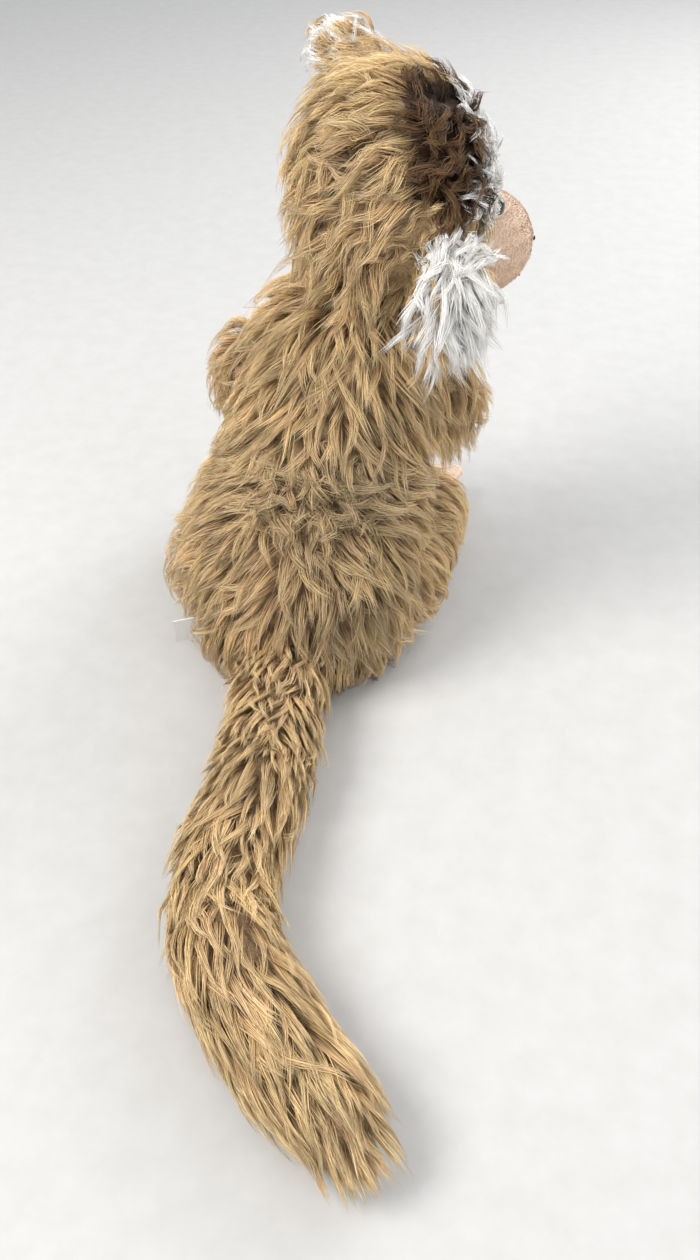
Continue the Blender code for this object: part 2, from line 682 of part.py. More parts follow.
def hip_centre(side):
    return Vector((HIP_MID_X + side * HIP.x, HIP.y, HIP.z))


def limb(body, name, route, radii, sides, round_end=False, stop=0.0, finish="tan_fur"):
    """A fabric tube, open where it is sewn on, round its own filling."""
    outer = tube_rings(route, radii, sides, 0, False, stop, round_end)
    inner = tube_rings(route, radii, sides, WALL, False, stop, round_end)
    if round_end:
        skin = body.add(f"{name}_skin", *loft(cup(outer[::-1], inner[::-1])), finish)
    else:
        skin = body.add(f"{name}_skin", *loft(outer + inner[::-1], loop=True), finish)
    rings = tube_rings(route, radii, sides, WALL + GAP, True, stop, round_end)
    return skin, body.add(f"{name}_stuffing", *loft(filled(rings)), "stuffing")


def digit(body, name, start, end, radius):
    """One finger or toe, joined to its palm or sole."""
    rings = tube_rings([start, end], [radius] * 2, 6, round_end=True)
    return body.add(name, *loft(rings), "peach_plush")


def mitt(body, name, frame, cuff, half, thumb_side, spread, length, radius):
    """A stuffed hand or foot: a pad cut flat at the cuff, with its digits.

    In the frame, x runs forward, y across and z out of the back; the cuff is a frame whose x leaves
    the limb.
    """
    pad_shape = ellipsoid(EAST * half.x * PAD_FORWARD, half, frame, 14, 7)
    pad = body.add(name, *pad_shape, "peach_plush")
    corners = ((-1, -1), (1, -1), (1, 1), (-1, 1))
    behind = []
    for x in (-CUFF_CUT, 0):
        behind.append([cuff @ Vector((x, y * CUFF_CUT, z * CUFF_CUT)) for y, z in corners])
    combine(pad, body.add(f"{name}_cuff_cut", *loft(filled(behind)), "stuffing"))
    forward, sideways = DIGIT_ROOT
    for index in range(DIGITS):
        across = 2 * index / (DIGITS - 1) - 1
        start = Vector((half.x * forward, across * half.y * sideways, 0))
        reach = length * (1 - OUTER_DIGIT_SHORTER * across**2)
        end = start + Vector((reach, across * spread, -DIGIT_DROP))
        combine(pad, digit(body, f"{name}_digit_{index}", frame @ start, frame @ end, radius), "UNION")
    forward, sideways = THUMB_ROOT
    start = Vector((half.x * forward, thumb_side * half.y * sideways, -THUMB_ROOT_DROP))
    forward, sideways = THUMB_REACH
    end = start + Vector((length * forward, thumb_side * half.y * sideways, -THUMB_DROP))
    thumb = digit(body, f"{name}_thumb", frame @ start, frame @ end, radius * THUMB_STOUTER)
    combine(pad, thumb, "UNION")


def cuff_frame(route, along, out):
    """A frame just past a limb's open end, with its x along and its z as near to out as it can be."""
    end = (route[-1] - route[-2]).normalized()
    up = (out - along * out.dot(along)).normalized()
    turn = Matrix((along, up.cross(along), up)).transposed().to_4x4()
    return Matrix.Translation(route[-1] + end * GAP) @ turn


def build_arm(torso, side, name):
    centre = shoulder_centre(side)
    body = Body(f"{name}_arm", centre, torso)
    lean = Matrix.Rotation(LEAN, 3, "Y")
    keys = [centre + lean @ Vector((side * s.x, s.y, s.z)) for s in ARM_STEPS]
    route, radii = smooth_route(keys, ARM_RADII, 3)
    limb(body, f"{name}_arm", route, radii, LIMB_SIDES)
    frame = cuff_frame(route, (route[-1] - route[-2]).normalized(), HAND_UP)
    mitt(body, f"{name}_hand", frame, frame, HAND_HALF, side, **HAND_DIGITS)


def build_leg(torso, side, name):
    centre = hip_centre(side)
    body = Body(f"{name}_leg", centre, torso)
    keys = [centre + Vector((side * s.x, s.y, s.z)) for s in LEG_STEPS]
    route, radii = smooth_route(keys, LEG_RADII, 3)
    limb(body, f"{name}_leg", route, radii, LIMB_SIDES)
    cuff = cuff_frame(route, (route[-1] - route[-2]).normalized(), FOOT_UP)
    frame = cuff_frame(route, FOOT_ALONG.normalized(), FOOT_UP)
    mitt(body, f"{name}_foot", frame, cuff, FOOT_HALF, -side, **FOOT_DIGITS)


# ---- tail ----


def tail_points():
    return [Vector((x, y, TAIL_Z)) for x, y in TAIL_ROUTE]


def build_tail(torso):
    """Three lengths of one soft tube, each with a ball end in the end of the one before."""
    route, radii = smooth_route(tail_points(), TAIL_RADII, TAIL_STEPS)
    parent, previous = torso, ()
    joints = [TAIL_STEPS * j for j in TAIL_JOINTS] + [len(route) - 1]
    for name, start, end in zip(TAIL_NAMES, joints, joints[1:]):
        body = Body(f"tail_{name}", route[start], parent)
        if previous:
            socket = sphere_cutter(body, f"tail_{name}_cut", route[start], radii[start] + PLAY)
            for piece in previous:
                combine(piece, socket)
        last = name == TAIL_NAMES[-1]
        stop = 0.0 if last else TAIL_STOP * radii[end]
        piece_route = route[start : end + 1]
        piece_radii = radii[start : end + 1]
        previous = limb(body, f"tail_{name}", piece_route, piece_radii, TAIL_SIDES, last, stop)
        parent = body


def main():
    clear_scene()
    torso = build_torso()
    build_head(build_neck(torso))
    for side, name in SIDES:
        build_arm(torso, side, name)
        build_leg(torso, side, name)
    build_tail(torso)


main()
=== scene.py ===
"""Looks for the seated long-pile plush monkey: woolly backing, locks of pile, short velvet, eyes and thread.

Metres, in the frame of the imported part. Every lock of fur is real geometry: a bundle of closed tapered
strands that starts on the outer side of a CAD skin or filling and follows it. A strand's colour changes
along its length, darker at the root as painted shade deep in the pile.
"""

import json
import math

import bmesh
import bpy
import numpy as np
from mathutils import Matrix, Vector, noise
from mathutils.bvhtree import BVHTree

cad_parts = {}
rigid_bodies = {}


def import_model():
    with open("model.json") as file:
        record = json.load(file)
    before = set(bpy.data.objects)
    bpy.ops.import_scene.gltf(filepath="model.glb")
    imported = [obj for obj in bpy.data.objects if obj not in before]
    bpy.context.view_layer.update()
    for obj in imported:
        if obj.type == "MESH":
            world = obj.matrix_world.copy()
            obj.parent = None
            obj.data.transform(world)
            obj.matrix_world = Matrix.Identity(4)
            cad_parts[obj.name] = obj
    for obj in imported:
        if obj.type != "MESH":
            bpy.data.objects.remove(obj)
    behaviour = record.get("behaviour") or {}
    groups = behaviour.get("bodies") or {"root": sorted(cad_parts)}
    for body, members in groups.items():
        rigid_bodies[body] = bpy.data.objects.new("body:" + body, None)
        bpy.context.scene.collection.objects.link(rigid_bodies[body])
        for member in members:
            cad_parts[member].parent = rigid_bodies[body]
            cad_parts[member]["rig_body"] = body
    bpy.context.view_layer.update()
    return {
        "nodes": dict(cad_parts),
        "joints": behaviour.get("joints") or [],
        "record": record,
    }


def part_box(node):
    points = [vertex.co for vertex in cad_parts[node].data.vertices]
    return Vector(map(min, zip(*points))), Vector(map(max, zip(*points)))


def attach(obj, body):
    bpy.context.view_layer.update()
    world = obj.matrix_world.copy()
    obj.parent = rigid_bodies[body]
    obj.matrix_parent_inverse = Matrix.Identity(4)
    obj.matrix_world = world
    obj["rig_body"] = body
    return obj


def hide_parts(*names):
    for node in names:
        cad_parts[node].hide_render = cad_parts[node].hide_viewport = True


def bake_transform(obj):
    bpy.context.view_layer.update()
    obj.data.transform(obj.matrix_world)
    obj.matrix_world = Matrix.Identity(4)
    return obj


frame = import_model()

NODES = frame["nodes"]
WELD = 1e-5  # points closer than this are one point
OUTER_SHARE = 0.3  # how squarely an outer face looks away from the filling under it
OUTER_DISTANCE = 0.0012  # an outer point is at least this far from the filling
CLOTH_DEPTH = 0.0020  # from a filling to the outer face of its skin
FLOOR_GAP = 0.0005  # the lowest any strand lies above the floor
SKIN_CORES = {
    "back_skin": "body_stuffing",
    "belly_skin": "body_stuffing",
    "neck_skin": "neck_stuffing",
    "cap_panel": "head_stuffing",
    "cheek_and_chin_panel": "head_stuffing",
    "face_panel": "head_stuffing",
    "head_back_skin": "head_stuffing",
    "muzzle_skin": "muzzle_stuffing",
}
for side in ("left", "right"):
    for limb in ("arm", "leg"):
        SKIN_CORES[f"{side}_{limb}_skin"] = f"{side}_{limb}_stuffing"
for length_name in ("base", "middle", "end"):
    SKIN_CORES[f"tail_{length_name}_skin"] = f"tail_{length_name}_stuffing"


# ---------------------------------------------------------------- vectors and meshes


def unit(vectors):
    return vectors / np.maximum(np.linalg.norm(vectors, axis=-1, keepdims=True), 1e-12)


def across(vectors, normals):
    """The part of each vector that lies along the surface, as a unit vector."""
    return unit(vectors - (vectors * normals).sum(-1, keepdims=True) * normals)


def turned(vectors, axes, angles):
    """Each vector, square to its unit axis, turned about it."""
    angles = np.asarray(angles)[..., None]
    return vectors * np.cos(angles) + np.cross(axes, vectors) * np.sin(angles)


def smooth(value, low, high):
    share = np.clip((value - low) / (high - low), 0, 1)
    return share * share * (3 - 2 * share)


def mesh_arrays(mesh):
    """(points, triangles) with points at the same place made one."""
    mesh.calc_loop_triangles()
    points = np.empty(len(mesh.vertices) * 3)
    mesh.vertices.foreach_get("co", points)
    faces = np.empty(len(mesh.loop_triangles) * 3, int)
    mesh.loop_triangles.foreach_get("vertices", faces)
    points = points.reshape(-1, 3)
    cells = np.round(points / WELD).astype(int)
    _, first, index = np.unique(cells, axis=0, return_index=True, return_inverse=True)
    return points[first], index.reshape(-1)[faces.reshape(-1, 3)]


def tree_of(name):
    points, faces = mesh_arrays(NODES[name].data)
    return BVHTree.FromPolygons(points.tolist(), faces.tolist())


def face_normals(points, faces):
    a, b, c = (points[faces[:, k]] for k in range(3))
    return np.cross(b - a, c - a)


def outer_faces(name):
    """(points, faces) of the side of a CAD skin that shows."""
    points, faces = mesh_arrays(NODES[name].data)
    if name not in SKIN_CORES:
        return points, faces
    core = tree_of(SKIN_CORES[name])
    keep = []
    for centre, normal in zip(points[faces].mean(1), unit(face_normals(points, faces))):
        off = centre - np.array(core.find_nearest(centre)[0])
        gap = np.linalg.norm(off)
        keep.append(off @ normal > OUTER_SHARE * gap)
    return points, faces[keep]


def swollen(name, depth=CLOTH_DEPTH):
    """(points, faces) of a closed filling, grown by a depth: its skin's thickness if none is given."""
    points, faces = mesh_arrays(NODES[name].data)
    return points + depth * point_normals(points, faces), faces


def point_normals(points, faces):
    sums = np.zeros_like(points)
    for k in range(3):
        np.add.at(sums, faces[:, k], face_normals(points, faces))
    return unit(sums)


DART_TRIES = 7  # places tried for each square of the spacing


class Skin:
    """The outer side of some CAD nodes as one surface, with smooth normals and a nearest-point search.

    A filling among them counts as grown to the outer face of the skin it fills.
    """

    def __init__(self, *names):
        parts = [swollen(name) if name.endswith("_stuffing") else outer_faces(name) for name in names]
        starts = np.cumsum([0] + [len(points) for points, _ in parts])
        points = np.concatenate([points for points, _ in parts])
        faces = np.concatenate([faces + start for (_, faces), start in zip(parts, starts)])
        self.points, self.faces = points, faces
        self.areas = np.linalg.norm(face_normals(points, faces), axis=1) / 2
        self.normals = point_normals(points, faces)
        self.tree = BVHTree.FromPolygons(points.tolist(), faces.tolist())

    def normal_at(self, places, at):
        corners = self.points[self.faces[at]]
        a, b, c = corners[:, 0], corners[:, 1], corners[:, 2]
        whole = np.cross(b - a, c - a)
        area = np.maximum((whole * whole).sum(1), 1e-20)
        share_b = (np.cross(places - a, c - a) * whole).sum(1) / area
        share_c = (np.cross(b - a, places - a) * whole).sum(1) / area
        shares = np.stack([1 - share_b - share_c, share_b, share_c], 1)
        return unit((self.normals[self.faces[at]] * shares[:, :, None]).sum(1))

    def nearest(self, places):
        found = [self.tree.find_nearest(place) for place in places]
        on = np.array([hit[0] for hit in found])
        return on, self.normal_at(on, np.array([hit[2] for hit in found]))

    def scatter(self, spacing, rng):
        """Places on the surface no closer together than spacing, and nearly as dense as that allows."""
        tries = int(DART_TRIES * self.areas.sum() / spacing**2)
        at = rng.choice(len(self.faces), tries, p=self.areas / self.areas.sum())
        first, second = rng.random(tries), rng.random(tries)
        over = first + second > 1
        first[over], second[over] = 1 - first[over], 1 - second[over]
        a, b, c = (self.points[self.faces[at, k]] for k in range(3))
        places = a + (b - a) * first[:, None] + (c - a) * second[:, None]
        kept, cells = [], {}
        for i, cell in enumerate(map(tuple, np.floor(places / spacing).astype(int))):
            near = [
                cells.get((cell[0] + x, cell[1] + y, cell[2] + z), ())
                for x in (-1, 0, 1)
                for y in (-1, 0, 1)
                for z in (-1, 0, 1)
            ]
            if all(np.sum((places[j] - places[i]) ** 2) >= spacing**2 for js in near for j in js):
                cells.setdefault(cell, []).append(i)
                kept.append(i)
        return places[kept], self.normal_at(places[kept], at[kept])


def outside(places, solids):
    """True for each place that is outside every one of the closed CAD nodes named."""
    clear = np.ones(len(places), bool)
    for name in solids:
        tree = tree_of(name)
        for i in np.flatnonzero(clear):
            on, normal, _, distance = tree.find_nearest(places[i])
            clear[i] = distance > 0 and (Vector(places[i]) - on).dot(normal) > 0
    return clear


def new_object(name, mesh, material):
    obj = bpy.data.objects.new(name, mesh)
    bpy.context.scene.collection.objects.link(obj)
    mesh.materials.append(material)
    return obj


# ---------------------------------------------------------------- strands

SIDES = 3  # of a strand
STRAND_FLATNESS = 0.55  # its thickness as a share of its width
CELL_LENGTH = 6.0  # a strand's own cell in the colour map is about this many times as long as it is wide
CELL_INSET = 0.12  # share of a cell kept clear at each edge


def strand_faces(count, rings):
    """Triangles of count closed strands, and each corner's (column, row) in its strand's colour cell.

    A strand is as many three-sided rings as rings says, and a tip.
    """
    one, place = [], []

    def add(corners):
        for ring, side, column in corners:
            one.append(ring * SIDES + side % SIDES if ring < rings else rings * SIDES)
            place.append((column, ring))

    add([(0, 2, 2), (0, 1, 1), (0, 0, 0)])
    for side in range(SIDES):
        for ring in range(rings - 1):
            low_a, low_b = (ring, side, side), (ring, side + 1, side + 1)
            high_a, high_b = (ring + 1, side, side), (ring + 1, side + 1, side + 1)
            add([low_a, low_b, high_b])
            add([low_a, high_b, high_a])
        add([(rings - 1, side, side), (rings - 1, side + 1, side + 1), (rings, 0, side + 0.5)])
    one = np.array(one)
    offsets = np.arange(count) * (rings * SIDES + 1)
    return (offsets[:, None] + one).reshape(-1, 3), np.array(place, float)


def strand_uvs(count, rings, place):
    """Each corner's place in the colour map, where every strand has a cell of its own."""
    columns = max(1, int(math.sqrt(count * CELL_LENGTH)))
    rows = math.ceil(count / columns)
    inset = CELL_INSET + (1 - 2 * CELL_INSET) * place / np.array([SIDES, rings])
    index = np.arange(count)
    corner = np.stack([index % columns, index // columns], 1)
    return ((corner[:, None] + inset) / np.array([columns, rows])).reshape(-1, 2)


def strand_mesh(name, lines, normals, widths, facts):
    """One mesh of closed tapered strands.

    lines is strands x points x 3, and each strand's last point is its tip. facts are values for the
    material, one for each strand.
    """
    count, rings = len(lines), lines.shape[1] - 1
    ahead = np.empty_like(lines)
    ahead[:, 1:-1] = lines[:, 2:] - lines[:, :-2]
    ahead[:, 0], ahead[:, -1] = lines[:, 1] - lines[:, 0], lines[:, -1] - lines[:, -2]
    ahead = unit(ahead)
    sideways = unit(np.cross(normals, ahead))
    upward = np.cross(ahead, sideways)
    points = np.empty((count, rings * SIDES + 1, 3))
    for side in range(SIDES):
        angle = math.tau * side / SIDES + math.pi / 2
        ring = sideways * math.cos(angle) + upward * math.sin(angle) * STRAND_FLATNESS
        points[:, side : rings * SIDES : SIDES] = (lines + ring * widths[..., None])[:, :-1]
    points[:, -1] = lines[:, -1]
    points[..., 2] = np.maximum(points[..., 2], FLOOR_GAP)
    faces, place = strand_faces(count, rings)
    mesh = bpy.data.meshes.new(name)
    mesh.vertices.add(points.shape[0] * points.shape[1])
    mesh.vertices.foreach_set("co", points.astype(np.float32).ravel())
    mesh.loops.add(faces.size)
    mesh.loops.foreach_set("vertex_index", faces.astype(np.int32).ravel())
    mesh.polygons.add(len(faces))
    mesh.polygons.foreach_set("loop_start", np.arange(0, faces.size, 3, dtype=np.int32))
    mesh.polygons.foreach_set("use_smooth", np.ones(len(faces), bool))
    mesh.update(calc_edges=True)
    layer = mesh.uv_layers.new(name="OFBake")
    layer.uv.foreach_set("vector", strand_uvs(count, rings, place).astype(np.float32).ravel())
    along = np.append(np.repeat(np.arange(rings), SIDES), rings) / rings
    values = {"along": np.broadcast_to(along, (count, len(along)))}
    values.update({key: np.repeat(value[:, None], len(along), 1) for key, value in facts.items()})
    for key, value in values.items():
        attribute = mesh.attributes.new(key, "FLOAT", "POINT")
        attribute.data.foreach_set("value", value.astype(np.float32).ravel())
    return mesh


# What a coat of fur is like, unless a piece says otherwise: some values may be functions of the roots
COAT = {
    "spacing": 0.0049,  # between locks
    "strands": 22,  # in a lock
    "points": 5,  # along a strand
    "length": 0.028,  # from root to tip
    "rise": math.radians(48),  # how steeply a lock leaves the skin
    "settle": math.radians(4),  # and how steeply it ends
    "stray": math.radians(15),  # how far locks wander from the comb's direction
    "bend": math.radians(22),  # how far one turns along its length
    "curl": 0.0012,  # radius of a lock's own winding
    "turns": 0.8,  # how many times it winds
    "tip": 0.22,  # width of a lock's end, as a share of its width at the root
    "sunk": 0.0012,  # how far a strand's first point is under the skin
    "width": 0.00021,  # half width of a strand
    "frizz": 0.00024,  # how unevenly a strand runs from one point to the next
    "loose": 0.16,  # share of strands that leave their lock
    "hang": -2.0,  # a lock falls free where its skin's normal is lower than this
    "let_go": 2.0,  # and where its skin's normal turns this far towards the way it is combed
    "fall": 1.6,  # how strongly a free lock turns down
    "dark": 0.0,  # painted shade: how much of its brightness a lock loses
}


RISE_FADE = 1.3  # how soon a lock lies down after it leaves the skin
FREE_SHARE = 0.45  # a lock that has to move this share of a step to reach its skin has left it
UPWARD = np.array([0.0, 0.0, 1.0])
LENGTHS, RISES, CURLS = (0.8, 1.15), (0.75, 1.25), (0.4, 1.6)  # how much locks differ, as shares


def value_at(value, places):
    return value(places) if callable(value) else np.full(len(places), float(value))


def locks(skin, roots, normals, flow, rng, coat):
    """Centre lines of the locks: (places, ups), each locks x points x 3."""
    count, points = len(roots), coat["points"]
    length = value_at(coat["length"], roots) * rng.uniform(*LENGTHS, count)
    stray = value_at(coat["stray"], roots)
    yaw = rng.normal(0, 1, count) * stray
    bend = rng.normal(0, coat["bend"], count)
    rise = value_at(coat["rise"], roots) * rng.uniform(*RISES, count)
    phase = rng.uniform(0, math.tau, count)
    curl = value_at(coat["curl"], roots) * rng.uniform(*CURLS, count)
    ground, height, free = roots.copy(), np.zeros(count), np.zeros(count, bool)
    places, ups = [roots.copy()], [normals.copy()]
    step = length / (points - 1)
    for k in range(1, points):
        share = (k - 0.5) / (points - 1)
        wanted = flow(ground)
        heading = across(wanted, normals)
        heading[free] = unit(wanted[free] - coat["fall"] * UPWARD)
        heading = turned(heading, normals, yaw + bend * share)
        angle = rise * (1 - share) ** RISE_FADE + coat["settle"]
        ahead = ground + heading * (step * np.cos(angle))[:, None]
        ground, beside = skin.nearest(ahead)
        free |= np.linalg.norm(ground - ahead, axis=1) > FREE_SHARE * step
        free |= beside[:, 2] < coat["hang"]
        free |= (beside * wanted).sum(1) > coat["let_go"]
        ground[free], normals = ahead[free], np.where(free[:, None], normals, beside)
        height = height + step * np.sin(angle) * (1 - 0.5 * free)
        winding = phase + math.tau * coat["turns"] * k / (points - 1)
        aside = np.cross(normals, heading) * (curl * (np.sin(winding) - np.sin(phase)))[:, None]
        lift = height + curl * 0.6 * (np.cos(winding) - np.cos(phase))
        places.append(ground + normals * lift[:, None] + aside)
        ups.append(normals)
    return np.stack(places, 1), np.stack(ups, 1)


def sampled(lines, shares):
    """Points on each line at its strands' own shares of its length: lines n x p x 3, shares n x s x q."""
    last = lines.shape[1] - 1
    at = np.clip(shares * last, 0, last - 1e-6)
    low = at.astype(int)
    part = (at - low)[..., None]
    index = np.arange(len(lines))[:, None, None]
    return lines[index, low] * (1 - part) + lines[index, low + 1] * part


ROOT_CLEARANCE = 0.002  # a root this close to one of the solids to keep clear of is left out
LOCK_REACH = 0.72  # half width of a lock at its root, as a share of the space between locks
LOCK_DEPTH = 0.45  # its thickness, as a share of its width
LOCK_SIZES = (0.75, 1.3)
LOCK_ENDS, LOCK_FAN = 3, 0.42  # a lock parts into this many tips, spread over this share of its width
GATHERED = 0.8  # how much closer together its strands lie at the tip, the way the lock runs
STRAND_LENGTHS = (0.55, 1.0)  # shares of the lock's length
STRAND_WIDTHS = (0.7, 1.25)
STRAND_TAPER = ((0, 0.45, 0.8, 1), (0.85, 1.0, 0.7, 0.2))  # places along a strand, and its width there
TIP_SIZES, LOOSE_TIP = (0.5, 1.5), 1.3
FRIZZ_KEPT = 0.6
EDGE_SHADE, DEPTH_SHADE = 0.75, 0.25  # painted shade and painted light: how much darker a lock is at its sides, and lighter on its ridge


def strands_of(centres, ups, coat, rng):
    """Every lock's strands: their lines, up directions and widths, and the facts that colour them."""
    count, strands, points = len(centres), coat["strands"], coat["points"]
    reach = coat["spacing"] * LOCK_REACH
    out = np.sqrt(rng.random((count, strands)))
    around = rng.uniform(0, math.tau, (count, strands))
    size = rng.uniform(*LOCK_SIZES, (count, 1))
    shares = np.linspace(0, 1, points) * rng.uniform(*STRAND_LENGTHS, (count, strands, 1))
    line, up = sampled(centres, shares), unit(sampled(ups, shares))
    sideways = unit(np.cross(up, unit(np.gradient(line, axis=2))))
    forward = np.cross(sideways, up)

    loose = rng.random((count, strands)) < coat["loose"]
    tip = np.where(loose, LOOSE_TIP, coat["tip"] * rng.uniform(*TIP_SIZES, (count, strands)))
    narrow = 1 + (tip[..., None] - 1) * smooth(shares, 0.0, 0.95)
    ends = rng.uniform(-1, 1, (count, LOCK_ENDS)) * reach * LOCK_FAN
    end = np.take_along_axis(ends, rng.integers(0, LOCK_ENDS, (count, strands)), 1)
    across_lock = (size * out * np.cos(around) * reach)[..., None] * narrow
    across_lock = across_lock + end[..., None] * smooth(shares, 0.1, 1.0)
    along_lock = (size * out * np.sin(around) * reach)[..., None] * (1 - shares * GATHERED)
    depth = (rng.uniform(-1, 1, (count, strands)) * reach * LOCK_DEPTH)[..., None]
    depth = depth * narrow * smooth(shares, 0, 0.3)
    line = line + sideways * across_lock[..., None] + forward * along_lock[..., None] + up * depth[..., None]
    frizz = rng.normal(0, coat["frizz"], (count, strands, points, 3)) * smooth(shares, 0.1, 0.9)[..., None]
    line = line + np.cumsum(frizz, axis=2) * FRIZZ_KEPT
    line[:, :, 0] -= up[:, :, 0] * coat["sunk"]

    taper = np.interp(np.linspace(0, 1, points), *STRAND_TAPER)
    widths = coat["width"] * rng.uniform(*STRAND_WIDTHS, (count, strands, 1)) * taper
    # Painted shade at a lock's sides and painted light on its ridge, passed to the material as the ridge
    # fact
    aside = np.abs(out * np.cos(around)) ** 1.5
    edge = 1 - EDGE_SHADE * aside + DEPTH_SHADE * depth[:, :, points // 2] / reach
    facts = {
        "tone": rng.random((count, strands)).ravel(),
        "ridge": np.clip(edge, 0, 1).ravel(),
        "lock": np.repeat(rng.random(count), strands),
    }
    return line.reshape(-1, points, 3), up.reshape(-1, points, 3), widths.reshape(-1, points), facts


def fur(name, body, skin_over, root_nodes, flow, material, slot, seed, clear_of=(), keep=None, **changes):
    """A piece of fur: locks rooted on root_nodes that follow the surface skin_over.

    body is one CAD body, or (body, next body, start, end) where the locks lie across a joint; that tuple's
    values are not used, and such a piece is attached to no body.
    """
    coat = {**COAT, **changes}
    rng = np.random.default_rng(seed)
    roots, normals = Skin(*root_nodes).scatter(coat["spacing"], rng)
    clear = outside(roots + normals * ROOT_CLEARANCE, clear_of)
    if keep is not None:
        clear &= keep(roots)
    roots, normals = roots[clear], normals[clear]
    centres, ups = locks(skin_over, roots, normals, flow, rng, coat)
    *strands, facts = strands_of(centres, ups, coat, rng)
    # Painted shade: how much each strand's lock is darkened
    facts["dark"] = np.repeat(value_at(coat["dark"], roots), coat["strands"])
    obj = new_object(name, strand_mesh(name, *strands, facts), material)
    if isinstance(body, str):
        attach(obj, body)
    else:
        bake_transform(obj)
    return obj


# ---------------------------------------------------------------- materials


def node(tree, kind, **settings):
    made = tree.nodes.new(kind)
    for key, value in settings.items():
        setattr(made, key, value)
    return made


def attribute(tree, name):
    return node(tree, "ShaderNodeAttribute", attribute_name=name).outputs["Fac"]


def remapped(tree, value, low, high, source=(0, 1)):
    made = node(tree, "ShaderNodeMapRange")
    tree.links.new(value, made.inputs["Value"])
    for key, number in zip(("From Min", "From Max", "To Min", "To Max"), (*source, low, high)):
        made.inputs[key].default_value = number
    return made.outputs["Result"]


def times(tree, *values):
    result = values[0]
    for value in values[1:]:
        made = node(tree, "ShaderNodeMath", operation="MULTIPLY")
        tree.links.new(result, made.inputs[0])
        tree.links.new(value, made.inputs[1])
        result = made.outputs[0]
    return result


def noise_value(tree, scale, detail=3.0, roughness=0.55):
    place = node(tree, "ShaderNodeTexCoord")
    made = node(tree, "ShaderNodeTexNoise")
    made.inputs["Scale"].default_value = scale
    made.inputs["Detail"].default_value = detail
    made.inputs["Roughness"].default_value = roughness
    tree.links.new(place.outputs["Object"], made.inputs["Vector"])
    return made.outputs["Fac"]


def ramp(tree, value, stops):
    made = node(tree, "ShaderNodeValToRGB")
    elements = made.color_ramp.elements
    while len(elements) < len(stops):
        elements.new(0.5)
    for element, (at, colour) in zip(elements, stops):
        element.position = at
        element.color = (*colour, 1)
    tree.links.new(value, made.inputs["Fac"])
    return made.outputs["Color"]


def shaded(tree, colour, hue, value):
    made = node(tree, "ShaderNodeHueSaturation")
    tree.links.new(colour, made.inputs["Color"])
    tree.links.new(hue, made.inputs["Hue"])
    tree.links.new(value, made.inputs["Value"])
    return made.outputs["Color"]


def new_material(name):
    made = bpy.data.materials.new(name)
    made.use_nodes = True
    return made, made.node_tree, made.node_tree.nodes["Principled BSDF"]


def bumped(tree, shader, height, strength, distance):
    made = node(tree, "ShaderNodeBump")
    made.inputs["Strength"].default_value = strength
    made.inputs["Distance"].default_value = distance
    tree.links.new(height, made.inputs["Height"])
    tree.links.new(made.outputs["Normal"], shader.inputs["Normal"])


PATCHES_PER_METRE = 38  # how fine the lighter and darker patches of a coat are
RIDGE_LIGHT = (0.78, 1.06)  # painted shade and painted light: brightness at a lock's sides, and on its ridge
HUES = (0.493, 0.505)  # locks differ in hue by this much, where 0.5 leaves the colour as it is
STRAND_ROUGHNESS = (0.5, 0.72)


def pile_material(name, root, middle, tip, patch=0.8, spread=0.3, sheen=0.2):
    """Fur colour: from root to tip with painted shade at the root, painted shade at a lock's sides and
    painted light on its ridge, painted shade where the dark fact says, and different from strand to strand.
    """
    made, tree, shader = new_material(name)
    # Darker at the root: painted shade deep in the pile, over the pile's own colour
    colour = ramp(tree, attribute(tree, "along"), ((0.04, root), (0.42, middle), (0.92, tip)))
    value = times(
        tree,
        remapped(tree, attribute(tree, "tone"), 1 - spread, 1 + spread * 0.7),
        # painted shade at a lock's sides and painted light on its ridge
        remapped(tree, attribute(tree, "ridge"), *RIDGE_LIGHT),
        remapped(tree, noise_value(tree, PATCHES_PER_METRE), patch, 1.12, (0.35, 0.65)),
        # painted shade from the dark fact
        remapped(tree, attribute(tree, "dark"), 1.0, 0.0),
    )
    hue = remapped(tree, attribute(tree, "lock"), *HUES)
    tree.links.new(shaded(tree, colour, hue, value), shader.inputs["Base Color"])
    rough = remapped(tree, attribute(tree, "tone"), *STRAND_ROUGHNESS)
    tree.links.new(rough, shader.inputs["Roughness"])
    shader.inputs["Specular IOR Level"].default_value = 0.35
    shader.inputs["Sheen Weight"].default_value = sheen
    shader.inputs["Sheen Roughness"].default_value = 0.4
    return made


def cloth_material(name, dark, light, scale, rough=0.85, bump=0.6, depth=0.0006, sheen=0.3):
    """A woolly or woven ground: two colours in a fine grain, with the grain standing up."""
    made, tree, shader = new_material(name)
    grain = noise_value(tree, scale, 5.0, 0.65)
    tree.links.new(ramp(tree, grain, ((0.35, dark), (0.65, light))), shader.inputs["Base Color"])
    shader.inputs["Roughness"].default_value = rough
    shader.inputs["Sheen Weight"].default_value = sheen
    bumped(tree, shader, grain, bump, depth)
    return made


def woven_material(name, colour, dark, pitch):
    """Plain weave: crossed bands that bump the surface, with painted shade darkening the gaps between
    threads.
    """
    made, tree, shader = new_material(name)
    place = node(tree, "ShaderNodeTexCoord")
    bands = []
    for direction in ("X", "Z"):
        wave = node(tree, "ShaderNodeTexWave", bands_direction=direction, wave_profile="SIN")
        wave.inputs["Scale"].default_value = 1 / pitch
        wave.inputs["Distortion"].default_value = 1.5
        tree.links.new(place.outputs["Object"], wave.inputs["Vector"])
        bands.append(wave.outputs["Fac"])
    weave = times(tree, *bands)
    # The gaps between threads are darker as painted shade
    tree.links.new(ramp(tree, weave, ((0.0, dark), (0.5, colour))), shader.inputs["Base Color"])
    shader.inputs["Roughness"].default_value = 0.75
    bumped(tree, shader, weave, 0.3, 0.0002)
    return made


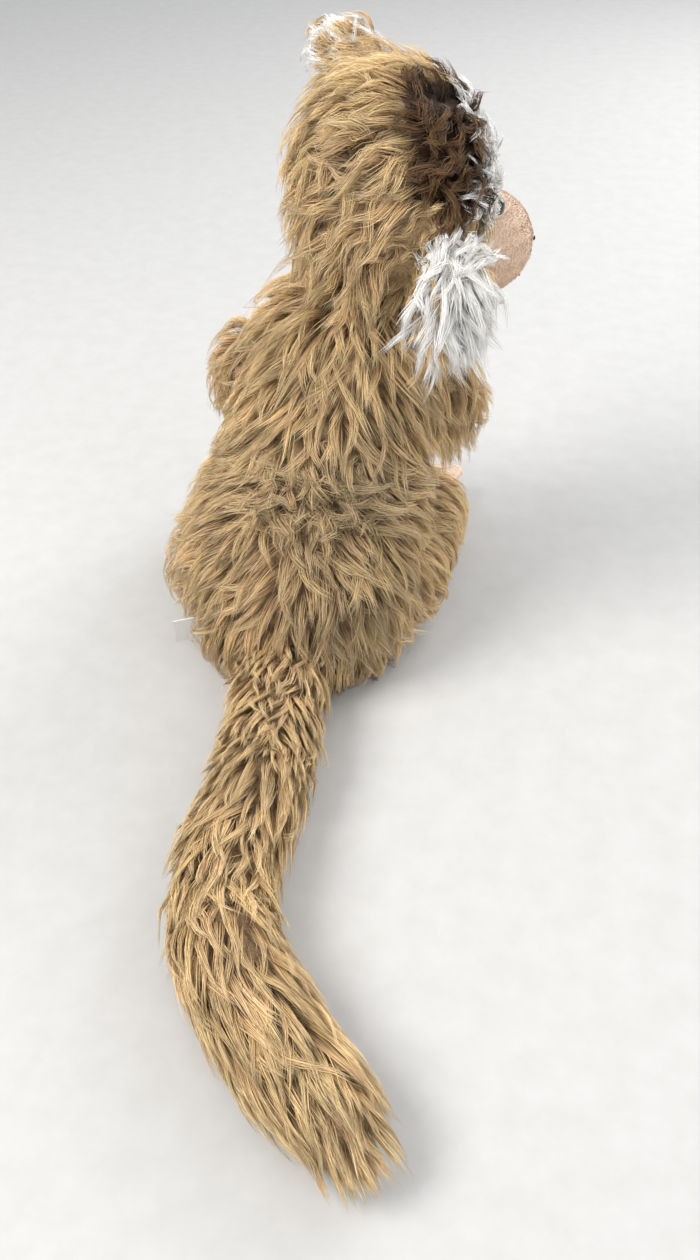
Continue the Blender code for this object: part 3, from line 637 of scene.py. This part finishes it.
def gloss_material(name, colour, speck, rough):
    """Moulded plastic with faint swirls and fine wear in its polish."""
    made, tree, shader = new_material(name)
    swirl = noise_value(tree, 220, 4.0)
    tree.links.new(ramp(tree, swirl, ((0.3, colour), (0.8, speck))), shader.inputs["Base Color"])
    tree.links.new(remapped(tree, swirl, rough * 0.7, rough * 1.6), shader.inputs["Roughness"])
    shader.inputs["Coat Weight"].default_value = 0.6
    shader.inputs["Coat Roughness"].default_value = 0.04
    return made


# Each root colour is darker as painted shade deep in the pile; the middle and tip colours are the pile's own
TAN_ROOT, TAN_MIDDLE, TAN_TIP = (0.28, 0.165, 0.070), (0.68, 0.46, 0.215), (0.91, 0.69, 0.375)
TAN = pile_material("tan_pile", TAN_ROOT, TAN_MIDDLE, TAN_TIP)
BROWN = pile_material(
    "brown_pile", (0.020, 0.009, 0.003), (0.080, 0.038, 0.014), (0.24, 0.13, 0.055), 0.7, 0.4, sheen=0.02
)
WHITE = pile_material("white_pile", (0.80, 0.77, 0.71), (0.92, 0.905, 0.87), (0.95, 0.945, 0.93), 0.96, 0.06)
PEACH = pile_material("peach_velvet", (0.60, 0.41, 0.28), (0.82, 0.60, 0.44), (0.90, 0.72, 0.56), 0.95, 0.08)
# The tan and brown wool under the pile are darker than their pile: painted shade under the pile, over the
# backing's own colour
TAN_WOOL = cloth_material("tan_wool", (0.26, 0.165, 0.08), (0.54, 0.37, 0.19), 900)
BROWN_WOOL = cloth_material("brown_wool", (0.014, 0.006, 0.003), (0.060, 0.028, 0.012), 900, sheen=0.0)
WHITE_WOOL = cloth_material("white_wool", (0.66, 0.62, 0.55), (0.86, 0.83, 0.77), 900)
PEACH_WOOL = cloth_material(
    "peach_wool", (0.72, 0.52, 0.38), (0.84, 0.64, 0.49), 1400, bump=0.25, depth=0.0001
)
SEAT_CLOTH = cloth_material("seat_tricot", (0.10, 0.055, 0.028), (0.24, 0.15, 0.08), 1600)
FIBRE = cloth_material("polyester_fibre", (0.62, 0.62, 0.60), (0.88, 0.88, 0.86), 500)
BAG_CLOTH = woven_material("pellet_bag_weave", (0.60, 0.60, 0.57), (0.30, 0.30, 0.28), 0.0010)
LABEL_CLOTH = woven_material("label_satin", (0.90, 0.90, 0.88), (0.62, 0.62, 0.60), 0.0007)
EYE = gloss_material("polished_black", (0.004, 0.0035, 0.0035), (0.012, 0.010, 0.009), 0.10)
WASHER = gloss_material("washer_plastic", (0.74, 0.74, 0.72), (0.84, 0.84, 0.82), 0.4)
THREAD = cloth_material("stitch_thread", (0.014, 0.007, 0.005), (0.05, 0.026, 0.018), 1800, 0.6)

SLOT_LOOKS = {
    "tan_fur": TAN_WOOL,
    "brown_fur": BROWN_WOOL,
    "white_fur": WHITE_WOOL,
    "peach_plush": PEACH_WOOL,
    "stuffing": FIBRE,
    "pellet_cloth": BAG_CLOTH,
    "seat_cloth": SEAT_CLOTH,
    "label_cloth": LABEL_CLOTH,
    "eye_plastic": EYE,
    "washer_plastic": WASHER,
    "thread": THREAD,
}
node_slots = {sub["node"]: sub["material_slot"] for sub in frame["record"]["subparts"]}
for node_name, cad_object in NODES.items():
    for material_slot in cad_object.material_slots:
        material_slot.material = SLOT_LOOKS[node_slots[node_name]]


# ---------------------------------------------------------------- where the pile runs

WHORL = np.array([-0.018, 0.021, 0.113])  # the parting on the back that locks spread from
WHORL_TOP, WHORL_FOOT = 0.128, 0.106  # locks below these heights spread from it, at first a little
FLANK_SPREAD = 6.0  # how much locks lean out from the middle of the back, per metre
DOWN_SHARE = 0.75  # how much of the way down there is in locks that spread from the whorl
MUZZLE_ROOT = (0, -0.05, -0.012)  # in the head's frame
HEAD_CENTRE = Vector((-0.0475, -0.058, 0.2435))
HEAD_TURN, HEAD_NOD, HEAD_TILT = math.radians(-58), math.radians(16), math.radians(-22)
head_frame = (
    Matrix.Translation(HEAD_CENTRE)
    @ Matrix.Rotation(HEAD_TURN, 4, "Z")
    @ Matrix.Rotation(HEAD_NOD, 4, "X")
    @ Matrix.Rotation(HEAD_TILT, 4, "Y")
)
HEAD_AXES = np.array(head_frame.to_3x3())
joint_places = {j["name"]: np.array(j["pos_m"]) for j in frame["joints"]}


def head_places(places):
    """Places in the head's own frame: x to its left, y to its back, z up."""
    return (places - np.array(HEAD_CENTRE)) @ HEAD_AXES


def head_flow(back, down, out=0.0, from_muzzle=0.0):
    """A comb over the head that mixes the ways back, down, out to the sides and away from the snout."""
    def flow(places):
        local = head_places(places)
        way = np.tile([0.0, back, -down], (len(places), 1))
        way[:, 0] += out * np.sign(local[:, 0])
        way += from_muzzle * unit(local - np.array(MUZZLE_ROOT))
        return unit(way @ HEAD_AXES.T)

    return flow


def torso_flow(places):
    """Down the back and outward, and low on the back away from the whorl."""
    down = np.tile([0.0, 0.0, -1.0], (len(places), 1))
    down[:, 0] += FLANK_SPREAD * (places[:, 0] - WHORL[0])
    away = unit(places - WHORL) + DOWN_SHARE * down
    share = smooth(-places[:, 2], -WHORL_TOP, -WHORL_FOOT) * smooth(places[:, 1], -0.03, 0.0)
    return unit(unit(down) * (1 - share[:, None]) + away * share[:, None])


def steady_flow(x, y, z):
    return lambda places: np.tile(unit(np.array([x, y, z], float)), (len(places), 1))


TAIL_PARTS = ("base", "middle", "end")
tail_points = np.concatenate([outer_faces(f"tail_{part}_skin")[0] for part in TAIL_PARTS])
tail_tip = tail_points[tail_points[:, 1].argmax()]
TAIL_KNOTS = np.array(
    [joint_places["tail_base_swing"] - (0, 0.03, 0)]
    + [joint_places[name] for name in ("tail_base_swing", "tail_middle_bend", "tail_end_bend")]
    + [tail_tip, 2 * tail_tip - joint_places["tail_end_bend"]]
)
TAIL_STEPS = 12  # points on the line from one knot to the next


def tail_line():
    """Points along the middle of the tail, on a smooth curve through its joints and its tip."""
    line = []
    for a, b, c, d in zip(TAIL_KNOTS, TAIL_KNOTS[1:], TAIL_KNOTS[2:], TAIL_KNOTS[3:]):
        for t in np.arange(TAIL_STEPS) / TAIL_STEPS:
            square, cube = 2 * a - 5 * b + 4 * c - d, 3 * b - a - 3 * c + d
            line.append(0.5 * (2 * b + (c - a) * t + square * t**2 + cube * t**3))
    return np.array(line)


TAIL_LINE = tail_line()
TAIL_AHEAD = unit(np.gradient(TAIL_LINE, axis=0))
TAIL_FAN = 7.0  # how much locks lean away from the tail's middle, per metre


def tail_ahead(place):
    """The tail's own direction where it passes a place."""
    return TAIL_AHEAD[np.linalg.norm(TAIL_LINE - place, axis=1).argmin()]


def tail_flow(places):
    """Along the tail towards its tip, and a little outward."""
    at = np.linalg.norm(places[:, None, :2] - TAIL_LINE[None, :, :2], axis=2).argmin(1)
    aside = places - TAIL_LINE[at]
    aside[:, 2] = 0
    return unit(TAIL_AHEAD[at] + aside * TAIL_FAN)


# ---------------------------------------------------------------- the pieces

WOOL_PITCH = 260.0  # bumps of wool per metre


def rounded(name, node_names, material, source=None, cuts=1, swell=0.0004, grain=0.0007, even=0):
    """Finer faces with a woolly outer side, in place of CAD nodes: each cut is followed by as many rounds of
    evening-out as even gives.
    """
    skin = node_names[0]
    core = tree_of(SKIN_CORES[skin]) if skin in SKIN_CORES else None
    points, faces = source or mesh_arrays(NODES[skin].data)
    mesh = bmesh.new()
    corners = [mesh.verts.new(point) for point in points]
    for face in faces:
        mesh.faces.new([corners[i] for i in face])
    for _ in range(cuts):
        bmesh.ops.subdivide_edges(mesh, edges=mesh.edges[:], cuts=1, use_grid_fill=True)
        for _ in range(even):
            bmesh.ops.smooth_vert(
                mesh, verts=mesh.verts[:], factor=0.5, use_axis_x=True, use_axis_y=True, use_axis_z=True
            )
    mesh.normal_update()
    moves = []
    for vertex in mesh.verts:
        gap = core.find_nearest(vertex.co)[3] if core else 1.0
        size = swell + grain * noise.noise(vertex.co * WOOL_PITCH)
        moves.append(vertex.normal * (size if gap > OUTER_DISTANCE else 0.0))
    for vertex, move in zip(mesh.verts, moves):
        vertex.co += move
        vertex.co.z = max(vertex.co.z, 0.0)
    data = bpy.data.meshes.new(name)
    mesh.to_mesh(data)
    mesh.free()
    data.polygons.foreach_set("use_smooth", np.ones(len(data.polygons), bool))
    obj = new_object(name, data, material)
    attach(obj, NODES[skin]["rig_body"])
    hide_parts(*node_names)
    return obj


KNOT_FLATNESS, KNOT_SUNK = 0.4, 0.0007  # a knot's depth as a share of its CAD solid's, and its sinking


def pressed(knot):
    """(points, faces) of a stitched knot, flattened and drawn into the plush of the snout."""
    points, faces = mesh_arrays(NODES[knot].data)
    middle = points.mean(0)
    low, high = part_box("muzzle_skin")
    out = unit(middle - (np.array(low) + np.array(high)) / 2)
    depth = (points - middle) @ out
    return points - out * (depth[:, None] * KNOT_FLATNESS + KNOT_SUNK), faces


LINING_DEPTH = 0.0006  # over the filling, so inside the skin's thickness


def body_lining():
    """Cloth just over the body's filling, so that none of it shows where a limb lifts off its seam."""
    points, faces = swollen("body_stuffing", LINING_DEPTH)
    mesh = bpy.data.meshes.new("body_lining")
    mesh.from_pydata(points.tolist(), [], faces.tolist())
    mesh.polygons.foreach_set("use_smooth", np.ones(len(faces), bool))
    obj = new_object("body_lining", mesh, TAN_WOOL)
    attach(obj, "body")


def soft(name, node_names, material, **shape):
    rounded(name, node_names, material, **shape)


BACKED = {
    "back_skin": TAN_WOOL,
    "belly_skin": TAN_WOOL,
    "neck_skin": TAN_WOOL,
    "head_back_skin": TAN_WOOL,
    "cheek_and_chin_panel": TAN_WOOL,
    "cap_panel": BROWN_WOOL,
    "face_panel": WHITE_WOOL,
    "left_ear_back": TAN_WOOL,
    "right_ear_back": TAN_WOOL,
    "left_ear_front": WHITE_WOOL,
    "right_ear_front": WHITE_WOOL,
    "tail_base_skin": TAN_WOOL,
    "tail_middle_skin": TAN_WOOL,
    "tail_end_skin": TAN_WOOL,
}
for skin_name, wool in BACKED.items():
    piece = skin_name.removesuffix("_skin").removesuffix("_panel")
    soft(f"{piece}_backing", [skin_name], wool)

PAW_SHAPE = {"cuts": 2, "even": 1, "swell": 0.0006, "grain": 0.0003}
for side in ("left", "right"):
    for limb in ("arm", "leg"):
        filling = f"{side}_{limb}_stuffing"
        soft(f"{side}_{limb}_backing", [f"{side}_{limb}_skin"], TAN_WOOL, source=swollen(filling))
    soft(f"{side}_hand_plush", [f"{side}_hand"], PEACH_WOOL, **PAW_SHAPE)
    soft(f"{side}_foot_plush", [f"{side}_foot"], PEACH_WOOL, **PAW_SHAPE)
    rounded(f"{side}_eye_button", [f"{side}_eye"], EYE, cuts=2, even=1, swell=0.0002, grain=0)
    knot = f"{side}_nostril"
    rounded(f"{knot}_knot", [knot], THREAD, source=pressed(knot), even=1, swell=0.0001, grain=0.0001)
soft("muzzle_plush", ["muzzle_skin"], PEACH_WOOL, cuts=2, even=1, swell=0.0004, grain=0)
body_lining()

ARMS = ["left_arm_stuffing", "right_arm_stuffing"]
LEGS = ["left_leg_stuffing", "right_leg_stuffing"]
torso = Skin("back_skin", "belly_skin", "seat_panel", "body_stuffing", *ARMS, *LEGS)
collar = Skin("body_stuffing", "back_skin", "belly_skin", *ARMS)
head = Skin("head_back_skin", "cap_panel", "cheek_and_chin_panel", "face_panel")
tail = Skin(*(f"tail_{part}_skin" for part in TAIL_PARTS))

# ---------------------------------------------------------------- fur on the body

BACK_LEVELS = (0.0, 0.062, 0.105, 0.146, 0.200)  # the back's pile is in pieces between these heights
COLLAR_HEIGHT = 0.172
RUFFLE_SIZE = np.array([0.026, 0.034, 0.020])
RUFFLE_EDGE = 0.35  # how ruffled the back is where the whorl's own locks start
TAIL_SHADE = np.array([-0.033, 0.050, 0.066])  # the middle of the locks over the tail that get painted shadow from the locks overhanging them
TAIL_SHADE_SIZE = np.array([0.026, 0.04, 0.012])
NECK_PLACE = joint_places["head_turn"]
COLLAR_FALL = 0.6  # how steeply the collar's locks are combed down


def ruffled(places):
    """1 at the whorl on the back, fading out round it."""
    return np.exp(-(((places - WHORL) / RUFFLE_SIZE) ** 2).sum(1))


def painted_shadow_over_tail(places):
    """1 low on the back over the root of the tail, where its locks get painted shadow from those overhanging
    them, fading out round it.
    """
    return np.exp(-(((places - TAIL_SHADE) / TAIL_SHADE_SIZE) ** 2).sum(1))


BACK_COAT = {
    "length": lambda places: 0.034 - 0.012 * ruffled(places),
    "stray": lambda places: math.radians(12) + math.radians(50) * ruffled(places),
    "curl": lambda places: 0.0010 + 0.0030 * ruffled(places),
    # painted shade among the ruffled locks of the whorl, and painted shadow on the locks over the root of
    # the tail
    "dark": lambda places: 0.36 * ruffled(places) + 0.62 * painted_shadow_over_tail(places),
    "rise": lambda places: math.radians(48) + math.radians(22) * smooth(places[:, 0], 0.025, 0.055),
}


def tan_fur(name, body, over, roots, flow, seed, **changes):
    return fur(name, body, over, roots, flow, TAN, "tan_fur", seed, **changes)


def white_fur(name, body, over, roots, flow, seed, **changes):
    return fur(name, body, over, roots, flow, WHITE, "white_fur", seed, **changes)


def body_piles():
    solids = ARMS + LEGS + ["tail_base_stuffing", "head_stuffing", "neck_stuffing"]
    # The whorl's own locks are darkened a little as painted shade
    tan_fur(
        "whorl_pile", "body", torso, ["back_skin"], torso_flow, 16, clear_of=solids,
        keep=lambda places: ruffled(places) > RUFFLE_EDGE, length=0.019, rise=math.radians(66),
        settle=math.radians(18), stray=math.radians(110), curl=0.0044, turns=1.7, points=9,
        strands=15, spacing=0.0052, tip=0.3, dark=0.22,
    )
    for seed, (low, high) in enumerate(zip(BACK_LEVELS, BACK_LEVELS[1:]), 1):
        tan_fur(
            f"back_pile_{seed}", "body", torso, ["back_skin"], torso_flow, seed, clear_of=solids,
            keep=lambda places, low=low, high=high: (places[:, 2] >= low) & (places[:, 2] < high),
            **BACK_COAT,
        )
    tan_fur(
        "belly_pile", "body", torso, ["belly_skin"], steady_flow(0, -0.2, -1), 13,
        clear_of=solids, length=0.024, spacing=0.0062,
    )
    tan_fur(
        "collar_pile", "body", collar, ["body_stuffing"], collar_flow, 15, clear_of=solids,
        keep=lambda places: places[:, 2] > COLLAR_HEIGHT, length=0.038, spacing=0.0045,
        rise=math.radians(74),
    )
    tan_fur("neck_pile", "neck", Skin("neck_skin"), ["neck_skin"], collar_flow, 14, length=0.026)


def collar_flow(places):
    """Down and away from the middle of the neck."""
    away = places - NECK_PLACE
    away[:, 2] = -COLLAR_FALL * np.linalg.norm(away[:, :2], axis=1)
    return unit(away)


# ---------------------------------------------------------------- fur on the head and ears

EAR_ROOT_SIZE = 0.024
EAR_TOP = 0.018  # the right ear's top pile starts this far below its joint
EAR_HANG = {"left": HEAD_AXES @ (1.0, 0.9, -0.1), "right": (0.0, 0.05, -1)}
EAR_HAIR = {"left": (0.017, 0.019), "right": (0.040, 0.028)}  # on the front, and on the back


HEAD_SIZE = np.array([0.055, 0.045, 0.048])
BROW_EDGE, CROWN_EDGE = 70.0, 106.0  # degrees from the face's axis
CROWN_SIDE = 0.010
EYE_CLEARING = 0.0100  # no fur starts closer to the middle of an eye


def by_left_ear(places):
    """True round the root of the left ear, where the head's fur stands up along the ear."""
    return np.linalg.norm(places - joint_places["left_ear_flop"], axis=1) < EAR_ROOT_SIZE


def nape(places):
    """1 low on the back of the head, 0 at its crown."""
    return smooth(-places[:, 2], -0.265, -0.215)


def head_piles():
    tan_fur(
        "head_back_pile", "head", head, ["head_back_skin"], head_flow(0.35, 1.0), 21,
        clear_of=["neck_stuffing"], length=lambda places: 0.030 + 0.018 * nape(places),
        rise=math.radians(58), stray=math.radians(22), curl=0.0028, turns=1.2, hang=0.05,
    )
    tan_fur(
        "ear_root_pile", "head", head, ["cheek_and_chin_panel", "head_back_skin", "cap_panel"],
        steady_flow(*EAR_HANG["left"]), 27, keep=by_left_ear, length=0.036, rise=math.radians(64),
        settle=math.radians(12), curl=0.0016,
    )
    fur(
        "cap_pile", "head", head, ["cap_panel"], head_flow(0.6, 0.5, out=0.6), BROWN, "brown_fur", 22,
        keep=lambda places: cap_zone(places) == 0, rise=math.radians(58), loose=0.3,
        length=lambda places: 0.017 + 0.007 * off_the_ear(places),
        stray=math.radians(36), curl=0.0032, turns=1.5, spacing=0.0037, strands=24,
    )
    white_fur(
        "brow_pile", "head", head, ["cap_panel"], head_flow(0.8, 0.0, out=0.4), 25,
        keep=lambda places: cap_zone(places) == 1, length=0.018, rise=math.radians(55),
        spacing=0.0028, strands=18, width=0.00021,
    )
    tan_fur(
        "crown_pile", "head", head, ["cap_panel"], head_flow(0.8, 0.1, out=0.3), 26,
        keep=lambda places: cap_zone(places) == 2, length=0.026, curl=0.0022, rise=math.radians(50),
    )
    tan_fur(
        "cheek_pile", "head", head, ["cheek_and_chin_panel"], head_flow(0.5, 0.9, from_muzzle=0.5), 23,
        keep=off_the_eyes, clear_of=["muzzle_stuffing"],
        length=lambda places: 0.009 + 0.015 * off_the_ear(places), rise=math.radians(46),
        curl=0.0020, hang=-0.3,
    )
    white_fur(
        "face_pile", "head", head, ["face_panel"], head_flow(0.1, 0.0, from_muzzle=1.0), 24,
        clear_of=["muzzle_stuffing", "left_eye", "right_eye"], rise=math.radians(40),
        length=lambda places: 0.004 + 0.010 * smooth(eye_distance(places), 0.010, 0.022),
        spacing=0.0030, strands=12, width=0.00020, keep=off_the_eyes,
    )


def cap_zone(places):
    """0 where the cap's pile is brown, 1 for the white along its front, 2 for the tan over the crown."""
    local = head_places(places)
    polar = np.degrees(np.arccos(-unit(local / HEAD_SIZE)[:, 1]))
    zone = np.where(polar < BROW_EDGE, 1, 0)
    behind = (polar > CROWN_EDGE) | (local[:, 0] > CROWN_SIDE)
    return np.where(behind & (zone == 0), 2, zone)


def off_the_ear(places):
    """0 beside the hanging ear, where short hair keeps clear of it, and 1 away from it."""
    leaf = Skin("right_ear_front", "right_ear_back")
    return smooth(np.linalg.norm(leaf.nearest(places)[0] - places, axis=1), 0.006, 0.026)


def eye_distance(places):
    """How far each place is from the middle of the nearer eye."""
    gaps = []
    for side in ("left", "right"):
        low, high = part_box(f"{side}_eye")
        gaps.append(np.linalg.norm(places - (np.array(low) + np.array(high)) / 2, axis=1))
    return np.minimum(*gaps)


def off_the_eyes(places):
    return eye_distance(places) > EYE_CLEARING


def ear_piles(side, seed):
    ear = Skin(f"{side}_ear_front", f"{side}_ear_back")
    hang = steady_flow(*EAR_HANG[side])
    front, back = EAR_HAIR[side]
    white_fur(
        f"{side}_ear_front_pile", f"{side}_ear", ear, [f"{side}_ear_front"], hang, seed,
        length=front, rise=math.radians(42), spacing=0.0028, strands=20, width=0.00019,
        stray=math.radians(20), tip=0.6,
    )
    if side == "right":
        top = joint_places["right_ear_flop"][2] - EAR_TOP
        white_fur(
            "right_ear_top_pile", "right_ear", ear, ["right_ear_front"],
            steady_flow(-0.9, -0.5, 1.0), 71,
            keep=lambda places: places[:, 2] > top, length=0.020, rise=math.radians(72),
            settle=math.radians(24), spacing=0.0028, strands=18, width=0.00019, tip=0.6,
            stray=math.radians(40),
        )
    tan_fur(
        f"{side}_ear_back_pile", f"{side}_ear", ear, [f"{side}_ear_back"], hang, seed + 1,
        length=back, rise=math.radians(40), spacing=0.0036, strands=18, curl=0.0024,
    )


# ---------------------------------------------------------------- fur on the limbs and tail

THIGH_HAIR = {"left": 0.030, "right": 0.024}
THIGH_RISE = {"left": math.radians(46), "right": math.radians(26)}


def limb_piles(side, sign, seed):
    arm, leg = f"{side}_arm_stuffing", f"{side}_leg_stuffing"
    tan_fur(
        f"{side}_arm_pile", f"{side}_arm", Skin(arm), [arm], steady_flow(0.25 * sign, -0.45, -1), seed,
        clear_of=["body_stuffing", f"{side}_hand"], length=0.032, hang=-0.5,
    )
    tan_fur(
        f"{side}_leg_pile", f"{side}_leg", Skin(leg), [leg], steady_flow(0.6 * sign, -0.1, -1), seed + 1,
        clear_of=["body_stuffing", "seat_pellet_bag", f"{side}_foot"], length=THIGH_HAIR[side],
        rise=THIGH_RISE[side], strands=20,
    )


VELVET = {
    "length": 0.0020,
    "spacing": 0.00092,
    "strands": 3,
    "points": 3,
    "width": 0.00016,
    "frizz": 0.00008,
    "curl": 0.0,
    "sunk": 0.0005,
    "rise": math.radians(66),
    "stray": math.radians(5),
    "bend": math.radians(5),
    "tip": 0.9,
}


def velvets():
    pieces = [("muzzle", "head", "muzzle_skin", head_flow(1.0, 0.4), ["head_stuffing"])]
    for side in ("left", "right"):
        pieces.append((f"{side}_hand", f"{side}_arm", f"{side}_hand", steady_flow(0, -1, -0.3), []))
        pieces.append((f"{side}_foot", f"{side}_leg", f"{side}_foot", steady_flow(0, -1, 0.1), []))
    for seed, (name, body, skin, flow, inside) in enumerate(pieces, 61):
        over = Skin(skin)
        fur(f"{name}_velvet", body, over, [skin], flow, PEACH, "peach_plush", seed, inside, **VELVET)


TAIL_HAIR = {"base": 0.032, "middle": 0.038, "end": 0.042}
TAIL_RISE = {"base": math.radians(44), "middle": math.radians(28), "end": math.radians(22)}
TAIL_STRANDS = {"base": 23, "middle": 24, "end": 22}
TAIL_SPACING = {"base": 0.0038, "middle": 0.0041, "end": 0.0042}
TIP_TRIM = 0.018  # how much shorter the hair is at the tip of the tail
BEND_BEFORE, BEND_AFTER = 0.012, 0.016  # the stretch of the tail before and after a joint that is given with a length's fur
GAP_BEFORE_BEND = 0.014  # from where two lengths of the tail meet to their joint
RIM = 0.008  # half the stretch round that place where the lengths' ends get short locks


def across_bend(part, after):
    """The bodies on both sides of a tail length's joint with the next length, and the stretch of tail round
    that joint.
    """
    at = joint_places[f"tail_{after}_bend"]
    ahead = tail_ahead(at)
    return f"tail_{part}", f"tail_{after}", at - BEND_BEFORE * ahead, at + BEND_AFTER * ahead


def by_tail_tip(places):
    """1 at the tip of the tail, fading to 0 some way up it."""
    return smooth(-np.linalg.norm(places - tail_tip, axis=1), -0.045, -0.012)


def tail_piles():
    bodies = (across_bend("base", "middle"), across_bend("middle", "end"), "tail_end")
    for part, body, seed in zip(TAIL_PARTS, bodies, (51, 52, 53)):
        tan_fur(
            f"tail_{part}_pile", body, tail, [f"tail_{part}_skin"], tail_flow, seed,
            length=lambda places, hair=TAIL_HAIR[part]: hair - TIP_TRIM * by_tail_tip(places),
            rise=TAIL_RISE[part], settle=math.radians(2), stray=math.radians(9),
            bend=math.radians(12), curl=0.0012, strands=TAIL_STRANDS[part], tip=0.2,
            spacing=TAIL_SPACING[part], loose=0.10, let_go=0.45, fall=0.3,
        )


def tail_joint_piles():
    """Short locks on the ends of the tail's lengths, so that no filling shows where two of them meet."""
    ends = (("base", "middle", 54), ("middle", "middle", 55), ("middle", "end", 56), ("end", "end", 57))
    for part, after, seed in ends:
        at = joint_places[f"tail_{after}_bend"]
        ahead = tail_ahead(at)
        gap = at - GAP_BEFORE_BEND * ahead
        core = f"tail_{part}_stuffing"
        tan_fur(
            f"tail_{part}_rim_by_{after}_bend_pile", f"tail_{part}", Skin(core), [core], tail_flow, seed,
            keep=lambda places, gap=gap, ahead=ahead: np.abs((places - gap) @ ahead) < RIM,
            length=0.017, rise=math.radians(58), spacing=0.0032, strands=16, let_go=0.3, fall=0.0,
        )


body_piles()
head_piles()
for side, sign, seed in (("left", 1, 31), ("right", -1, 41)):
    ear_piles(side, seed)
    limb_piles(side, sign, seed + 2)
tail_piles()
tail_joint_piles()
velvets()

# ---------------------------------------------------------------- floor, light and camera

FLOOR_SIDE = 12.0
SENSOR, FRAME_HEIGHT, FOCAL = 36.0, 1260, 1200.0
CAMERA_AIM = Vector((-0.051, 0.097, 0.090))
CAMERA_AWAY = 0.57
CAMERA_PITCH, CAMERA_SWING, CAMERA_ROLL = math.radians(40), math.radians(15), math.radians(-3)

PALE_FLOOR = cloth_material(
    "pale_floor", (0.52, 0.516, 0.505), (0.55, 0.547, 0.54), 60, 0.9, 0.05, 0.0002, 0.0
)
bpy.ops.mesh.primitive_plane_add(size=FLOOR_SIDE)
floor = bpy.context.object
floor.name = "floor"
floor.data.materials.append(PALE_FLOOR)

world = bpy.data.worlds.new("studio")
bpy.context.scene.world = world
world.use_nodes = True
background = world.node_tree.nodes["Background"]
background.inputs["Color"].default_value = (0.95, 0.97, 1.0, 1)
background.inputs["Strength"].default_value = 0.75


def soft_light(name, place, aim, size, power, colour=(1, 1, 1)):
    data = bpy.data.lights.new(name, "AREA")
    data.shape = "DISK"
    data.size = size
    data.energy = power
    data.color = colour
    light = bpy.data.objects.new(name, data)
    bpy.context.scene.collection.objects.link(light)
    light.location = place
    light.rotation_euler = (Vector(aim) - Vector(place)).to_track_quat("-Z", "Y").to_euler()


soft_light("key", (0.75, 0.55, 1.15), (0, 0.03, 0.12), 0.8, 19.0, (1.0, 0.97, 0.93))
soft_light("fill", (-1.1, 0.7, 0.8), (0, 0.03, 0.12), 1.2, 5.0)
soft_light("front", (-0.85, -1.1, 0.9), (0, 0, 0.15), 1.2, 17.0)

ahead = Vector(
    (
        math.sin(CAMERA_SWING) * math.cos(CAMERA_PITCH),
        -math.cos(CAMERA_SWING) * math.cos(CAMERA_PITCH),
        -math.sin(CAMERA_PITCH),
    )
)
right = ahead.cross(Vector((0, 0, 1))).normalized()
right = Matrix.Rotation(CAMERA_ROLL, 3, -ahead) @ right
upward = right.cross(ahead)
camera = bpy.data.objects.new("camera", bpy.data.cameras.new("camera"))
bpy.context.scene.collection.objects.link(camera)
camera.matrix_world = Matrix.Translation(CAMERA_AIM - ahead * CAMERA_AWAY) @ Matrix(
    (right, upward, -ahead)
).transposed().to_4x4()
camera.data.sensor_width = SENSOR
camera.data.lens = FOCAL * SENSOR / FRAME_HEIGHT
camera.data.clip_start, camera.data.clip_end = 0.01, 50
bpy.context.scene.camera = camera
bpy.context.scene.view_settings.view_transform = "Standard"
